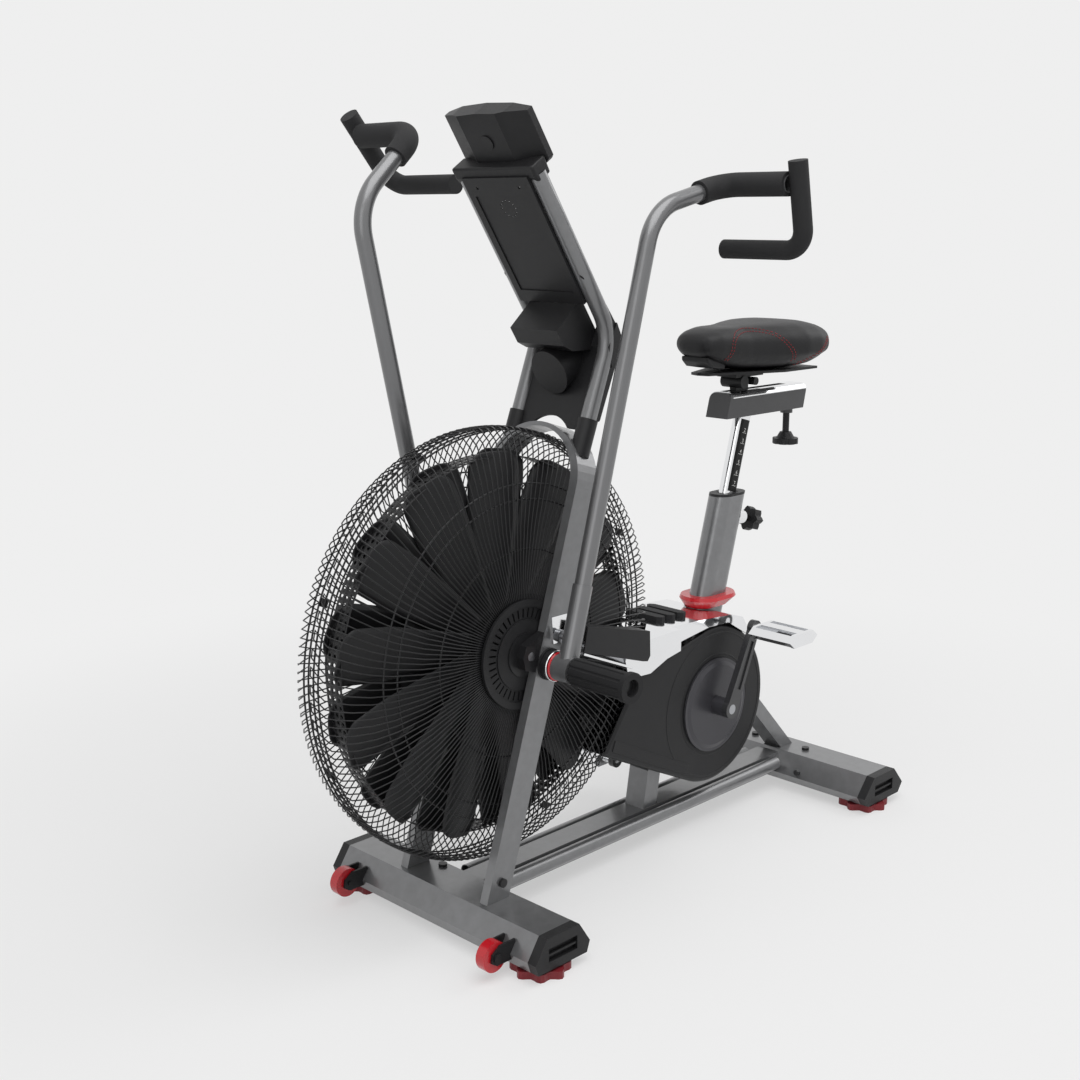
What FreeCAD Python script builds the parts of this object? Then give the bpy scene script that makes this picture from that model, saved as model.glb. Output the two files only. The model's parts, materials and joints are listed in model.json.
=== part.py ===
"""Air-resistance exercise bike: caged fan, swinging arm levers, crank drive and sliding saddle.

Row frame: +X towards the fan (the way the rider faces), +Y to the rider's left, +Z up.
The origin is on the floor, midway between the front of the cage and the back of the rear beam.
"""
import FreeCAD, Part
import math
import os
from types import SimpleNamespace

from FreeCAD import Matrix, Placement, Rotation, Vector

X_AXIS = Vector(1, 0, 0)
Y_AXIS = Vector(0, 1, 0)
Z_AXIS = Vector(0, 0, 1)

# Driving dimensions in millimetres and degrees.
SIZES = {
    # floor beams and feet
    "front_beam_x": 377.6, "rear_beam_x": -605.4, "beam_half_span": 250.0, "beam_top_z": 77.0,
    "beam_waist_z": 38.0, "beam_bottom_z": 18.0, "beam_top_half": 38.5, "beam_waist_half": 65.0, "rear_waist_half": 73.0,
    "beam_bottom_half": 58.0, "beam_wall": 2.5, "cap_length": 19.0,
    "foot_shift": 12.0, "foot_radius": 52.0, "foot_height": 14.0, "foot_lobes": 8.0, "foot_spacing": 227.5,
    "stud_radius": 6.0, "running_gap": 0.06,
    # rails
    "rail_half_width": 26.0, "rail_top_z": 72.0, "rail_height": 42.0, "side_rail_radius": 14.0,
    # fan and its cage
    "fan_x": 294.3, "cage_gap": 37.3, "blade_count": 14.0, "blade_tip_radius": 344.0,
    "blade_root_radius": 60.0, "blade_width": 103.0, "blade_pitch": 37.0, "blade_plate": 2.0,
    "band_width": 44.0, "band_wall": 2.0, "band_holes": 28.0, "hub_disc_radius": 198.0,
    "fan_shaft_radius": 8.0, "cage_radius": 384.0, "cage_flat": 34.0, "cage_shoulder": 84.0,
    "cage_shoulder_y": 79.0, "cage_hub_radius": 96.0, "cage_hub_y": 89.0, "wire_size": 3.0,
    "wires_per_side": 48.0, "wire_swirl": 13.0, "cage_ring_one": 90.0, "cage_ring_two": 117.0,
    # uprights, hoop and lever pivots
    "pivot_back": 39.3, "pivot_drop": 20.3, "upright_lean": 17.2, "upright_inner_y": 96.0,
    "upright_thick": 18.0, "upright_wide": 50.0, "hoop_below_rim": 76.0, "hoop_rise": 103.0,
    "pivot_axle_radius": 12.0, "pivot_housing_radius": 26.0, "pivot_housing_length": 21.0,
    "peg_radius": 24.0, "peg_start_y": 180.0, "peg_end_y": 306.0, "peg_flutes": 10.0,
    # lever arms
    "arm_y": 158.0, "arm_radius": 15.0, "arm_wall": 2.0, "arm_sleeve_radius": 17.5,
    "arm_sleeve_end": 146.0, "arm_height": 792.0, "arm_rest_lean": 15.2, "arm_swing": 28.0,
    "arm_hub_radius": 24.0, "arm_hub_length": 36.0, "grip_back": 156.0, "grip_rise": 878.0,
    "grip_out_y": 324.0, "grip_radius": 21.0, "handle_radius": 17.0, "handle_top": 916.0,
    "handle_low": 779.0, "handle_top_back": 148.0, "handle_low_back": 216.0, "handle_end_y": 151.0,
    "link_pin_height": 52.0, "link_y": 128.0, "link_inner_y": 64.0, "link_radius": 6.0, "link_stroke": 25.0,
    # crank drive
    "crank_x": -256.0, "crank_z": 271.0, "crank_length": 170.0, "crank_lean": 25.0,
    "crank_arm_y": 120.0, "crank_disc_radius": 96.0, "spindle_radius": 10.0, "shell_radius": 24.0,
    "drive_pulley_radius": 92.0, "fan_pulley_radius": 22.0, "belt_y": -50.0, "belt_width": 14.0,
    "belt_thick": 4.0, "pedal_centre_y": 190.0, "pedal_width": 100.0, "pedal_length": 92.0,
    "pedal_height": 26.0,
    # casing
    "casing_radius": 162.0, "casing_half": 80.0, "casing_wall": 3.0,
    # seat tube, post and saddle
    "seat_foot_x": -271.0, "seat_lean": 15.6, "seat_top": 418.0, "seat_tube_long": 84.0, "seat_tube_wide": 52.0,
    "seat_tube_wall": 3.0, "post_long": 40.0, "post_wide": 26.0, "post_top": 582.0,
    "slide_half": 25.0, "slide_bottom_z": 834.0, "slide_height": 50.0, "slide_front_x": -342.0,
    "slide_length": 262.0, "slide_round": 14.0, "saddle_length": 336.0, "saddle_half": 126.0,
    "saddle_nose_x": -256.0,
    "saddle_low_z": 926.0, "saddle_top_z": 1024.0,
    # mast and console
    "mast_y": 85.0, "mast_radius": 14.5, "panel_half": 78.0, "console_half": 98.0,
    "console_depth": 40.0, "console_height": 97.0, "cup_radius": 38.0,
    # transport wheels
    "wheel_x": 472.0, "wheel_y": 195.0, "wheel_z": 42.0, "wheel_radius": 26.5, "wheel_width": 19.0,
}


doc = FreeCAD.newDocument("air_bike")
sheet = doc.addObject("Spreadsheet::Sheet", "Sizes")
for row, (alias, number) in enumerate(SIZES.items(), start=1):
    sheet.set("A%d" % row, str(number))
    sheet.setAlias("A%d" % row, alias)
doc.recompute()
s = SimpleNamespace(**{alias: float(sheet.get(alias)) for alias in SIZES})

# Places that follow from the driving dimensions.
s.fan_z = s.beam_top_z + s.cage_gap + s.cage_radius
s.pivot_x = s.fan_x - s.pivot_back
s.pivot_z = s.fan_z - s.pivot_drop
s.hoop_start = s.cage_radius - s.hoop_below_rim
s.cage_shoulder_radius = s.cage_radius - s.cage_shoulder
s.band_radius = s.blade_tip_radius - 8

NODES = {}


# ---------------------------------------------------------------- small builders

def keep(node, item):
    """Register a finished sub-part under its node name."""
    item.Label = node
    NODES[node] = item
    return item


def feature(name, shape):
    """A shape made with Part's own functions, held by a document object."""
    item = doc.addObject("Part::Feature", name)
    item.Shape = shape
    return item


def cylinder(name, radius, length, start, axis=Y_AXIS):
    """A Part cylinder whose radius and length follow the sheet."""
    item = doc.addObject("Part::Cylinder", name)
    item.setExpression("Radius", radius)
    item.setExpression("Height", length)
    item.Placement = Placement(start, Rotation(Z_AXIS, axis))
    return item


def cut(name, base, tool):
    item = doc.addObject("Part::Cut", name)
    item.Base = base
    item.Tool = tool
    return item


def fuse(name, items):
    item = doc.addObject("Part::MultiFuse", name)
    item.Shapes = items
    return item


def mirrored(name, source):
    """The same piece on the other side of the bike."""
    item = doc.addObject("Part::Mirroring", name)
    item.Source = source
    item.Normal = Y_AXIS
    item.Base = Vector(0, 0, 0)
    return item


def group(name, items):
    """Separate solids that share one node."""
    item = doc.addObject("Part::Compound", name)
    item.Links = items
    return item


def pair(name, item):
    """A piece together with its mirror image."""
    item.Label = name + "_one"
    return group(name, [item, mirrored(name + "_other", item)])


def left_and_right(node, item):
    """One node holding a piece and its mirror image."""
    return keep(node, pair(node, item))


def profile(points, plane="XZ", offset=0.0):
    """A closed face through points given as (along, up), in the XZ, YZ or XY plane."""
    place = {
        "XZ": lambda a, b: Vector(a, offset, b),
        "YZ": lambda a, b: Vector(offset, a, b),
        "XY": lambda a, b: Vector(a, b, offset),
    }[plane]
    corners = [place(a, b) for a, b in points]
    return Part.Face(Part.makePolygon(corners + corners[:1]))


def slab(points, low, high, plane="XZ"):
    """A flat outline thickened between two coordinates of the axis across it."""
    along = {"XZ": Y_AXIS, "YZ": X_AXIS, "XY": Z_AXIS}[plane]
    return profile(points, plane, low).extrude(along * (high - low))


def block(x_range, y_range, z_range):
    """An axis-aligned box between pairs of coordinates."""
    size = [high - low for low, high in (x_range, y_range, z_range)]
    return Part.makeBox(size[0], size[1], size[2], Vector(x_range[0], y_range[0], z_range[0]))


def rod(radius, start, end):
    """A round bar between two points."""
    way = end - start
    return Part.makeCylinder(radius, way.Length, start, way)


def bent_path(points, radii):
    """Straight runs joined by tangent arcs, one radius for each inner corner."""
    edges = []
    start = points[0]
    for corner, after, radius in zip(points[1:-1], points[2:], radii):
        inward = (corner - start).normalize()
        outward = (after - corner).normalize()
        turn = inward.getAngle(outward)
        reach = radius * math.tan(turn / 2)
        first = corner - inward * reach
        last = corner + outward * reach
        side = (outward - inward).normalize()
        middle = corner + side * (radius / math.cos(turn / 2) - radius)
        edges.append(Part.LineSegment(start, first).toShape())
        edges.append(Part.Arc(first, middle, last).toShape())
        start = last
    edges.append(Part.LineSegment(start, points[-1]).toShape())
    return Part.Wire(edges)


def bent_bar(points, radii, radius):
    """A round bar swept along a bent path."""
    path = bent_path(points, radii)
    ring = Part.Wire(Part.makeCircle(radius, points[0], points[1] - points[0]))
    return path.makePipeShell([ring], True, True)


def bent_tube(points, radii, radius, wall):
    """A hollow round tube along a bent path."""
    return bent_bar(points, radii, radius).cut(bent_bar(points, radii, radius - wall))


def skin(sections, plate=False):
    """A closed solid of flat facets through a row of polygons with equal corner counts.

    Both sides of a plate are split along the same diagonals, so a twisted one keeps its wall.
    """
    faces = []
    count = len(sections[0])
    for near, far in zip(sections, sections[1:]):
        for i in range(count):
            j = (i + 1) % count
            trios = ((near[i], near[j], far[j]), (near[i], far[j], far[i]))
            if plate and i >= count // 2:
                trios = ((near[i], near[j], far[i]), (near[j], far[j], far[i]))
            for trio in trios:
                faces.append(Part.Face(Part.makePolygon([trio[0], trio[1], trio[2], trio[0]])))
    for end in (sections[0], sections[-1]):
        for i in range(count // 2 - 1):
            j = count - 1 - i
            for trio in ((end[i], end[i + 1], end[j - 1]), (end[i], end[j - 1], end[j])):
                faces.append(Part.Face(Part.makePolygon([trio[0], trio[1], trio[2], trio[0]])))
    solid = Part.makeSolid(Part.makeShell(faces))
    if solid.Volume < 0:
        solid.reverse()
    return solid


def leaning(degrees, x, z):
    """A frame at (x, z) whose Z axis leans back by the given angle."""
    return Placement(Vector(x, 0, z), Rotation(Y_AXIS, -degrees))


def placed(shape, placement):
    """The shape moved into a frame."""
    moved = shape.copy()
    moved.transformShape(placement.toMatrix())
    return moved


def mirror_shape(shape):
    """The shape reflected to the other side of the bike."""
    return shape.mirror(Vector(0, 0, 0), Y_AXIS)


# ---------------------------------------------------------------- floor frame

def beam_section(x, waist, shrink=0.0):
    """Outline of a floor beam across its length."""
    half = [
        (s.beam_top_half - shrink, s.beam_top_z - shrink),
        (waist - 1.6 * shrink, s.beam_waist_z),
        (s.beam_bottom_half - 1.2 * shrink, s.beam_bottom_z + shrink),
    ]
    right = [(x + a, b) for a, b in half]
    left = [(x - a, b) for a, b in reversed(half)]
    return right + left


def floor_beam(node, x, waist):
    """A pressed steel beam, open inside, with clearance holes for the levelling studs."""
    span = s.beam_half_span
    beam = slab(beam_section(x, waist), -span, span)
    beam = beam.cut(slab(beam_section(x, waist, s.beam_wall), -span, span))
    for side in (-1, 1):
        spot = Vector(x + s.foot_shift, side * s.foot_spacing, 0)
        hole = Part.makeCylinder(s.stud_radius + s.running_gap, s.beam_waist_z, spot)
        beam = beam.cut(hole)
    return keep(node, feature(node, beam))


def beam_end_caps():
    """Black caps that close the beams, each with a recessed slot and a rib."""
    caps = []
    inner = s.beam_half_span
    outer = inner + s.cap_length
    for x, waist in ((s.front_beam_x, s.beam_waist_half), (s.rear_beam_x, s.rear_waist_half)):
        cap = slab(beam_section(x, waist), inner + 0.1, outer)
        slot = block((x - 34, x + 34), (outer - 8, outer + 1), (s.beam_waist_z - 4, s.beam_waist_z + 20))
        rib = block((x - 34, x + 34), (outer - 8, outer - 2), (s.beam_waist_z + 5, s.beam_waist_z + 9))
        cap = cap.cut(slot).fuse(rib)
        caps += [cap, mirror_shape(cap)]
    return keep("beam_end_caps", feature("beam_end_caps", Part.makeCompound(caps)))


def levelling_foot(node, x, y):
    """A lobed foot knob with its threaded stud."""
    lobes = int(s.foot_lobes)
    steps = 6 * lobes
    outline = []
    for i in range(steps):
        angle = 2 * math.pi * i / steps
        radius = s.foot_radius * (0.9 + 0.1 * math.cos(lobes * angle))
        outline.append((x + radius * math.cos(angle), y + radius * math.sin(angle)))
    knob = slab(outline, 0, s.foot_height, "XY")
    boss = Part.makeCone(26, 14, s.beam_bottom_z - s.foot_height - 0.3, Vector(x, y, s.foot_height))
    stud = Part.makeCylinder(s.stud_radius, s.beam_waist_z + 8, Vector(x, y, 1))
    return keep(node, feature(node, knob.fuse([boss, stud]).removeSplitter()))


def rails():
    """The centre rail and the two round side tubes between the beams."""
    front = s.front_beam_x - s.beam_waist_half
    rear = s.rear_beam_x + s.rear_waist_half
    low = s.rail_top_z - s.rail_height
    half = s.rail_half_width
    # the rail's ends follow the sloping walls of the beams
    outline = []
    for end, waist, way in ((rear, s.rear_waist_half, -1), (front, s.beam_waist_half, 1)):
        slope = (waist - s.beam_top_half) / (s.beam_top_z - s.beam_waist_z)
        under = (waist - s.beam_bottom_half) / (s.beam_waist_z - s.beam_bottom_z)
        top_in = way * (s.rail_top_z - s.beam_waist_z) * slope
        low_in = way * (s.beam_waist_z - low) * under
        corners = [(end + low_in, low), (end, s.beam_waist_z), (end + top_in, s.rail_top_z)]
        outline += corners if way < 0 else corners[::-1]
    rail = slab(outline, -half, half)
    hollow = block((rear - 40, front + 40), (-half + 2, half - 2), (low + 2, s.rail_top_z - 2))
    centre = feature("centre_rail", rail.cut(hollow))
    tube_z = s.rail_top_z - s.side_rail_radius
    spot = Vector(rear, half + s.side_rail_radius + 0.2, tube_z)
    reach = front - rear
    tube = cylinder("side_rail", "Sizes.side_rail_radius", "%f" % reach, spot, X_AXIS)
    core = cylinder("side_rail_bore", "Sizes.side_rail_radius - 2", "%f" % reach, spot, X_AXIS)
    sides = pair("side_rails", cut("side_rail_tube", tube, core))
    keep("rails", group("rails", [centre, sides, support_struts()]))


def strut_frame():
    """Frame of the raking rear strut, whose Z axis runs up it from the rear beam."""
    return Placement(Vector(s.rear_beam_x + 7, 0, s.beam_top_z), Rotation(Z_AXIS, Vector(112, 0, 116)))


def support_struts():
    """The post and the raking strut that carry the crank shell and seat tube from the rails."""
    base = s.rail_top_z + 0.1
    outline = [(-108, base), (-148, base), (-160, 150), (-256, 238), (-240, 268), (-150, 190), (-121, 150)]
    post = slab(outline, -24, 24)
    post = post.cut(Part.makeCylinder(s.shell_radius + 0.1, 100, crank_point(y=-50), Y_AXIS))
    strut = placed(block((-15, 15), (-22, 22), (-40, 400)), strut_frame())
    strut = strut.cut(block((-800, 0), (-60, 60), (0, s.beam_top_z + 0.1)))
    tube = placed(oval_bar(s.seat_tube_long + 0.2, s.seat_tube_wide + 0.2, -60, 300), seat_frame())
    beyond = placed(block((0, 300), (-60, 60), (-100, 400)), seat_frame())
    return feature("frame_posts", Part.makeCompound([post.cut(tube), strut.cut(tube).cut(beyond)]))


# ---------------------------------------------------------------- uprights, hoop and pivots

def frame_lean():
    return leaning(s.upright_lean, s.pivot_x, s.pivot_z)


def arch(wide, tall, half):
    """A half ellipse above the tops of the uprights, in their own frame."""
    steps = 24
    outline = []
    for i in range(steps + 1):
        angle = math.pi * i / steps
        outline.append((wide * math.cos(angle), s.hoop_start + 0.1 + tall * math.sin(angle)))
    return slab(outline, -half, half, "YZ")


def hoop_room():
    """The space under and in the hoop, turned out of the parts that stand on it."""
    outer = s.upright_inner_y + s.upright_thick
    return placed(arch(outer + 0.1, s.hoop_rise + 0.1, 60), frame_lean())


def uprights():
    """Flat steel uprights on both sides of the cage and the hoop that joins them over it."""
    inner = s.upright_inner_y
    outer = inner + s.upright_thick
    half = s.upright_wide / 2
    legs = []
    for side in (-1, 1):
        y_range = sorted((side * inner, side * outer))
        core_range = sorted((side * (inner + 2), side * (outer - 2)))
        leg = block((-half, half), y_range, (-1.1 * s.pivot_z, s.hoop_start))
        core = block((-half + 2, half - 2), core_range, (-1.2 * s.pivot_z, s.hoop_start + 1))
        leg = placed(leg.cut(core), frame_lean())
        floor_cut = block((0, 600), (-200, 200), (-100, s.beam_top_z + 0.1))
        bore = Part.makeCylinder(s.pivot_axle_radius, 2 * outer, Vector(s.pivot_x, -outer, s.pivot_z), Y_AXIS)
        legs.append(leg.cut(floor_cut).cut(bore))
    hoop = arch(outer, s.hoop_rise, half).cut(arch(inner, s.hoop_rise - 8, half + 1))
    keep("uprights", feature("uprights", Part.makeCompound(legs + [placed(hoop, frame_lean())])))


def pivot_parts():
    """Lever axles, their housings with the fan bracket, and the foot pegs."""
    outer = s.upright_inner_y + s.upright_thick
    axle = cylinder("pivot_axle", "Sizes.pivot_axle_radius", "Sizes.peg_end_y - Sizes.upright_inner_y - 10",
                    Vector(s.pivot_x, s.upright_inner_y, s.pivot_z))
    keep("axles_and_bolts", group("axles_and_bolts", [pair("pivot_axles", axle), fasteners()]))
    at = Vector(s.pivot_x, outer + 0.1, s.pivot_z)
    housing = Part.makeCylinder(s.pivot_housing_radius, s.pivot_housing_length, at, Y_AXIS)
    lip = Part.makeCylinder(s.pivot_housing_radius + 2, 5, at, Y_AXIS)
    housing = housing.fuse(lip)
    bore = Part.makeCylinder(s.pivot_axle_radius, 60, at - Y_AXIS, Y_AXIS)
    left_and_right("pivot_housings", feature("pivot_housing", housing.cut(bore)))
    # the plate in front of the upright that holds the fan shaft
    low = frame_lean().multVec(Vector(s.upright_wide / 2 + 0.1, 0, -18))
    high = frame_lean().multVec(Vector(s.upright_wide / 2 + 0.1, 0, 52))
    nose = s.fan_x + 20
    plate = slab([(low.x, low.z), (nose - 6, s.fan_z - 22), (nose, s.fan_z), (nose - 8, s.fan_z + 20), (high.x, high.z)],
                 s.upright_inner_y, outer - 2)
    hole = Part.makeCylinder(s.fan_shaft_radius + s.running_gap, 200, Vector(s.fan_x, 0, s.fan_z), Y_AXIS)
    bracket = pair("fan_bracket_plates", feature("fan_bracket", plate.cut(hole)))
    keep("fan_brackets", group("fan_brackets", [bracket, cage_spacers()]))


def foot_pegs():
    """Fluted resting pegs on the lever axles, each with an open rounded end ring."""
    start = s.peg_start_y
    end = s.peg_end_y
    axis = Vector(s.pivot_x, start, s.pivot_z)
    peg = Part.makeCylinder(s.peg_radius, end - start - 10, axis, Y_AXIS)
    count = int(s.peg_flutes)
    for i in range(count):
        angle = 2 * math.pi * i / count
        groove = Part.makeCylinder(3.2, end - start, axis + Vector(
            math.cos(angle) * (s.peg_radius + 1.2), 0, math.sin(angle) * (s.peg_radius + 1.2)), Y_AXIS)
        peg = peg.cut(groove)
    ring = Part.makeCylinder(s.peg_radius + 2.5, 10, Vector(s.pivot_x, end - 10, s.pivot_z), Y_AXIS)
    mouth = Part.makeCylinder(s.peg_radius - 9, 12, Vector(s.pivot_x, end - 9.9, s.pivot_z), Y_AXIS)
    bore = Part.makeCylinder(s.pivot_axle_radius, end - start - 9.9, axis, Y_AXIS)
    peg = peg.fuse(ring).cut(mouth).cut(bore)
    left_and_right("foot_pegs", feature("foot_peg", peg))


# ---------------------------------------------------------------- fan and cage

def guard_y(radius):
    """Height of the cage's dish above the fan's middle plane at a radius."""
    if radius > s.cage_radius - 8:
        return s.cage_flat
    if radius > s.cage_shoulder_radius:
        share = (s.cage_radius - radius) / (s.cage_radius - s.cage_shoulder_radius)
        return s.cage_flat + (s.cage_shoulder_y - s.cage_flat) * math.sin(share * math.pi / 2)
    share = (s.cage_shoulder_radius - radius) / (s.cage_shoulder_radius - s.cage_hub_radius)
    return s.cage_shoulder_y + (s.cage_hub_y - s.cage_shoulder_y) * share


def cage_point(radius, y, turn=0.0):
    """A point of the cage at a radius, height and angle about the fan's axis."""
    return Vector(s.fan_x + radius * math.cos(turn), y, s.fan_z + radius * math.sin(turn))


def cage_room(gap):
    """The space that the cage turns out of other parts, with a gap round it."""
    outline = [(0, s.cage_hub_y + gap), (s.cage_hub_radius, s.cage_hub_y + gap),
               (s.cage_shoulder_radius, s.cage_shoulder_y + gap),
               (0.5 * (s.cage_radius + s.cage_shoulder_radius) + gap,
                guard_y(0.5 * (s.cage_radius + s.cage_shoulder_radius)) + gap),
               (s.cage_radius + gap, s.cage_flat + gap), (s.cage_radius + gap, 0)]
    points = outline + [(a, -b) for a, b in reversed(outline[:-1])]
    corners = [cage_point(radius, y) for radius, y in points]
    face = Part.Face(Part.makePolygon(corners + corners[:1]))
    return face.revolve(cage_point(0, 0), Y_AXIS, 360)


def guard_wire(turn, side):
    """One square wire of the cage, from the hub plate out and over the rim."""
    rim = s.cage_radius
    shoulder = s.cage_shoulder_radius
    stations = [s.cage_hub_radius - 4, 0.5 * (s.cage_hub_radius + shoulder), shoulder, rim - 39, rim - 12, rim, rim]
    heights = [guard_y(r) for r in stations[:-2]] + [s.cage_flat - 2, 4.0]
    half = s.wire_size / 2
    sections = []
    for radius, height in zip(stations, heights):
        share = (radius - s.cage_hub_radius) / (s.cage_radius - s.cage_hub_radius)
        angle = turn + math.radians(s.wire_swirl) * share * abs(share)
        if radius == s.cage_radius and height < s.cage_flat - 2:
            angle += math.radians(2.0)
        across = Vector(-math.sin(angle), 0, math.cos(angle)) * half
        depth = s.wire_size
        if radius < s.cage_shoulder_radius + 1:
            inner = cage_point(radius, side * (height - depth), angle)
            outer = cage_point(radius, side * height, angle)
        elif radius < s.cage_radius - 20:
            inner = cage_point(radius - 0.6 * depth, side * (height - 0.8 * depth), angle)
            outer = cage_point(radius, side * height, angle)
        else:
            inner = cage_point(radius - depth, side * (height - 0.3 * depth), angle)
            outer = cage_point(radius, side * height, angle)
        sections.append([inner - across, outer - across, outer + across, inner + across])
    return skin(sections)


def ring_bar(radius, y, size):
    """A square-section ring about the fan's axis."""
    corners = [cage_point(radius, y), cage_point(radius - size, y),
               cage_point(radius - size, y - size), cage_point(radius, y - size)]
    face = Part.Face(Part.makePolygon(corners + corners[:1]))
    return face.revolve(cage_point(0, 0), Y_AXIS, 360)


def guards():
    """The two dished wire guards, each with its support rings and pierced hub plate."""
    count = int(s.wires_per_side)
    belt_angle = math.degrees(math.atan2(s.crank_z - s.fan_z, s.crank_x - s.fan_x)) % 360
    for node, side in (("guard_left", 1), ("guard_right", -1)):
        parts = []
        for i in range(count):
            degrees = 360.0 * i / count
            tip = degrees + s.wire_swirl
            if side < 0 and abs(tip - belt_angle) < 15:
                continue
            parts.append(guard_wire(math.radians(degrees), side))
        ring_one = s.cage_radius - s.cage_ring_one
        ring_two = s.cage_radius - s.cage_ring_two
        rings = [(ring_one, guard_y(ring_one) - s.wire_size), (ring_two, guard_y(ring_two) - s.wire_size),
                 (s.cage_radius - s.wire_size, 6.0 + s.wire_size)]
        for radius, y in rings:
            bar = ring_bar(radius, y, s.wire_size)
            parts.append(bar if side > 0 else mirror_shape(bar))
        plate = Part.makeCylinder(s.cage_hub_radius + 12, 2.5, cage_point(0, s.cage_hub_y - 2.5 - s.wire_size), Y_AXIS)
        plate = plate.cut(Part.makeCylinder(30, 200, cage_point(0, 0), Y_AXIS))
        parts.append(plate if side > 0 else mirror_shape(plate))
        keep(node, feature(node, Part.makeCompound(parts)))


def hub_caps():
    """Round vented caps over the cage's hub, with a ring of slots and a pocket for the bracket."""
    y = s.cage_hub_y + 0.2
    radius = s.cage_hub_radius
    cap = Part.makeCylinder(radius, 5, cage_point(0, y), Y_AXIS)
    cap = cap.cut(Part.makeCylinder(radius - 12, 3, cage_point(0, y + 2.5), Y_AXIS))
    boss = Part.makeCylinder(radius - 34, 4.5, cage_point(0, y), Y_AXIS)
    cap = cap.fuse(boss)
    slots = []
    count = 40
    for i in range(count):
        angle = 2 * math.pi * i / count
        slot = block((radius - 31, radius - 15), (y - 1, y + 6), (-1.6, 1.6))
        slot.rotate(Vector(0, 0, 0), Y_AXIS, -math.degrees(angle))
        slot.translate(Vector(s.fan_x, 0, s.fan_z))
        slots.append(slot)
    cap = cap.cut(Part.makeCompound(slots))
    pocket = block((s.fan_x - radius, s.fan_x + 24), (y - 1, y + 9), (s.fan_z - 24, s.fan_z + 24))
    cap = cap.cut(pocket.common(Part.makeCylinder(radius - 13, 12, cage_point(0, y - 2), Y_AXIS)))
    cap = cap.cut(Part.makeCylinder(38.2, 20, cage_point(0, y - 5), Y_AXIS))
    left_and_right("hub_caps", feature("hub_cap", cap))


def fan_blade(turn):
    """A pitched, cupped blade from the hub disc to the tip."""
    sections = []
    for radius, width, pitch in ((s.blade_root_radius, 0.54 * s.blade_width, s.blade_pitch + 16),
                                 (0.55 * s.blade_tip_radius, 0.92 * s.blade_width, s.blade_pitch - 2),
                                 (s.blade_tip_radius, s.blade_width, s.blade_pitch)):
        front = []
        back = []
        for k in (-0.5, -0.17, 0.17, 0.5):
            along = k * width
            cup = 7.0 * (1 - 4 * k * k)
            lean = math.radians(pitch)
            for store, lift in ((front, cup + s.blade_plate / 2), (back, cup - s.blade_plate / 2)):
                sweep = along * math.cos(lean) - lift * math.sin(lean)
                rise = along * math.sin(lean) + lift * math.cos(lean)
                reach = math.sqrt(max(radius ** 2 - sweep ** 2, 1.0)) if radius == s.blade_tip_radius else radius
                store.append((reach, sweep, rise))
        ring = front + back[::-1]
        spots = []
        for reach, sweep, rise in ring:
            out = reach * math.cos(turn) - sweep * math.sin(turn)
            up = reach * math.sin(turn) + sweep * math.cos(turn)
            spots.append(Vector(s.fan_x + out, rise, s.fan_z + up))
        sections.append(spots)
    return skin(sections, plate=True)


def fan():
    """The bladed rotor with its perforated band, and the shaft with the driven pulley."""
    count = int(s.blade_count)
    blades = [fan_blade(2 * math.pi * (i + 0.56) / count) for i in range(count)]
    half = s.band_width / 2
    band = Part.makeCylinder(s.band_radius, s.band_width, cage_point(0, -half), Y_AXIS)
    band = band.cut(Part.makeCylinder(s.band_radius - s.band_wall, s.band_width, cage_point(0, -half), Y_AXIS))
    holes = []
    hole_count = int(s.band_holes)
    for i in range(hole_count):
        angle = 2 * math.pi * (i + 0.3) / hole_count
        way = Vector(math.cos(angle), 0, math.sin(angle))
        for y in (-11, 11):
            holes.append(Part.makeCylinder(5, 30, cage_point(s.band_radius - 15, y, angle), way))
    band = band.cut(Part.makeCompound(holes))
    disc = Part.makeCylinder(s.hub_disc_radius, 3, cage_point(0, -1.5), Y_AXIS)
    hub = Part.makeCylinder(40, 60, cage_point(0, -30), Y_AXIS)
    bore = Part.makeCylinder(s.fan_shaft_radius, 200, cage_point(0, -100), Y_AXIS)
    rotor = Part.makeCompound([disc.fuse(hub).cut(bore), band] + blades)
    keep("fan_rotor", feature("fan_rotor", rotor))
    end = s.upright_inner_y + s.upright_thick - 4
    shaft = cylinder("shaft", "Sizes.fan_shaft_radius", "%f" % (2 * end), cage_point(0, -end))
    low = s.belt_y - s.belt_width / 2
    pulley = cylinder("fan_pulley", "Sizes.fan_pulley_radius", "Sizes.belt_width", cage_point(0, low))
    flange = Part.makeCylinder(s.fan_pulley_radius + 6, 1.5, cage_point(0, low - 1.6), Y_AXIS)
    flanges = flange.fuse(Part.makeCylinder(s.fan_pulley_radius + 6, 1.5, cage_point(0, low + s.belt_width + 0.1), Y_AXIS))
    keep("fan_shaft", fuse("fan_shaft", [shaft, pulley, feature("pulley_flanges", flanges)]))


# ---------------------------------------------------------------- crank drive

def crank_point(radius=0.0, turn=0.0, y=0.0):
    return Vector(s.crank_x + radius * math.cos(turn), y, s.crank_z + radius * math.sin(turn))


def pedal_centre(side):
    """Where a crank carries its pedal: the left one up and back, the right one down."""
    angle = math.radians(90 + s.crank_lean)
    return crank_point(side * s.crank_length, angle)


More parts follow.
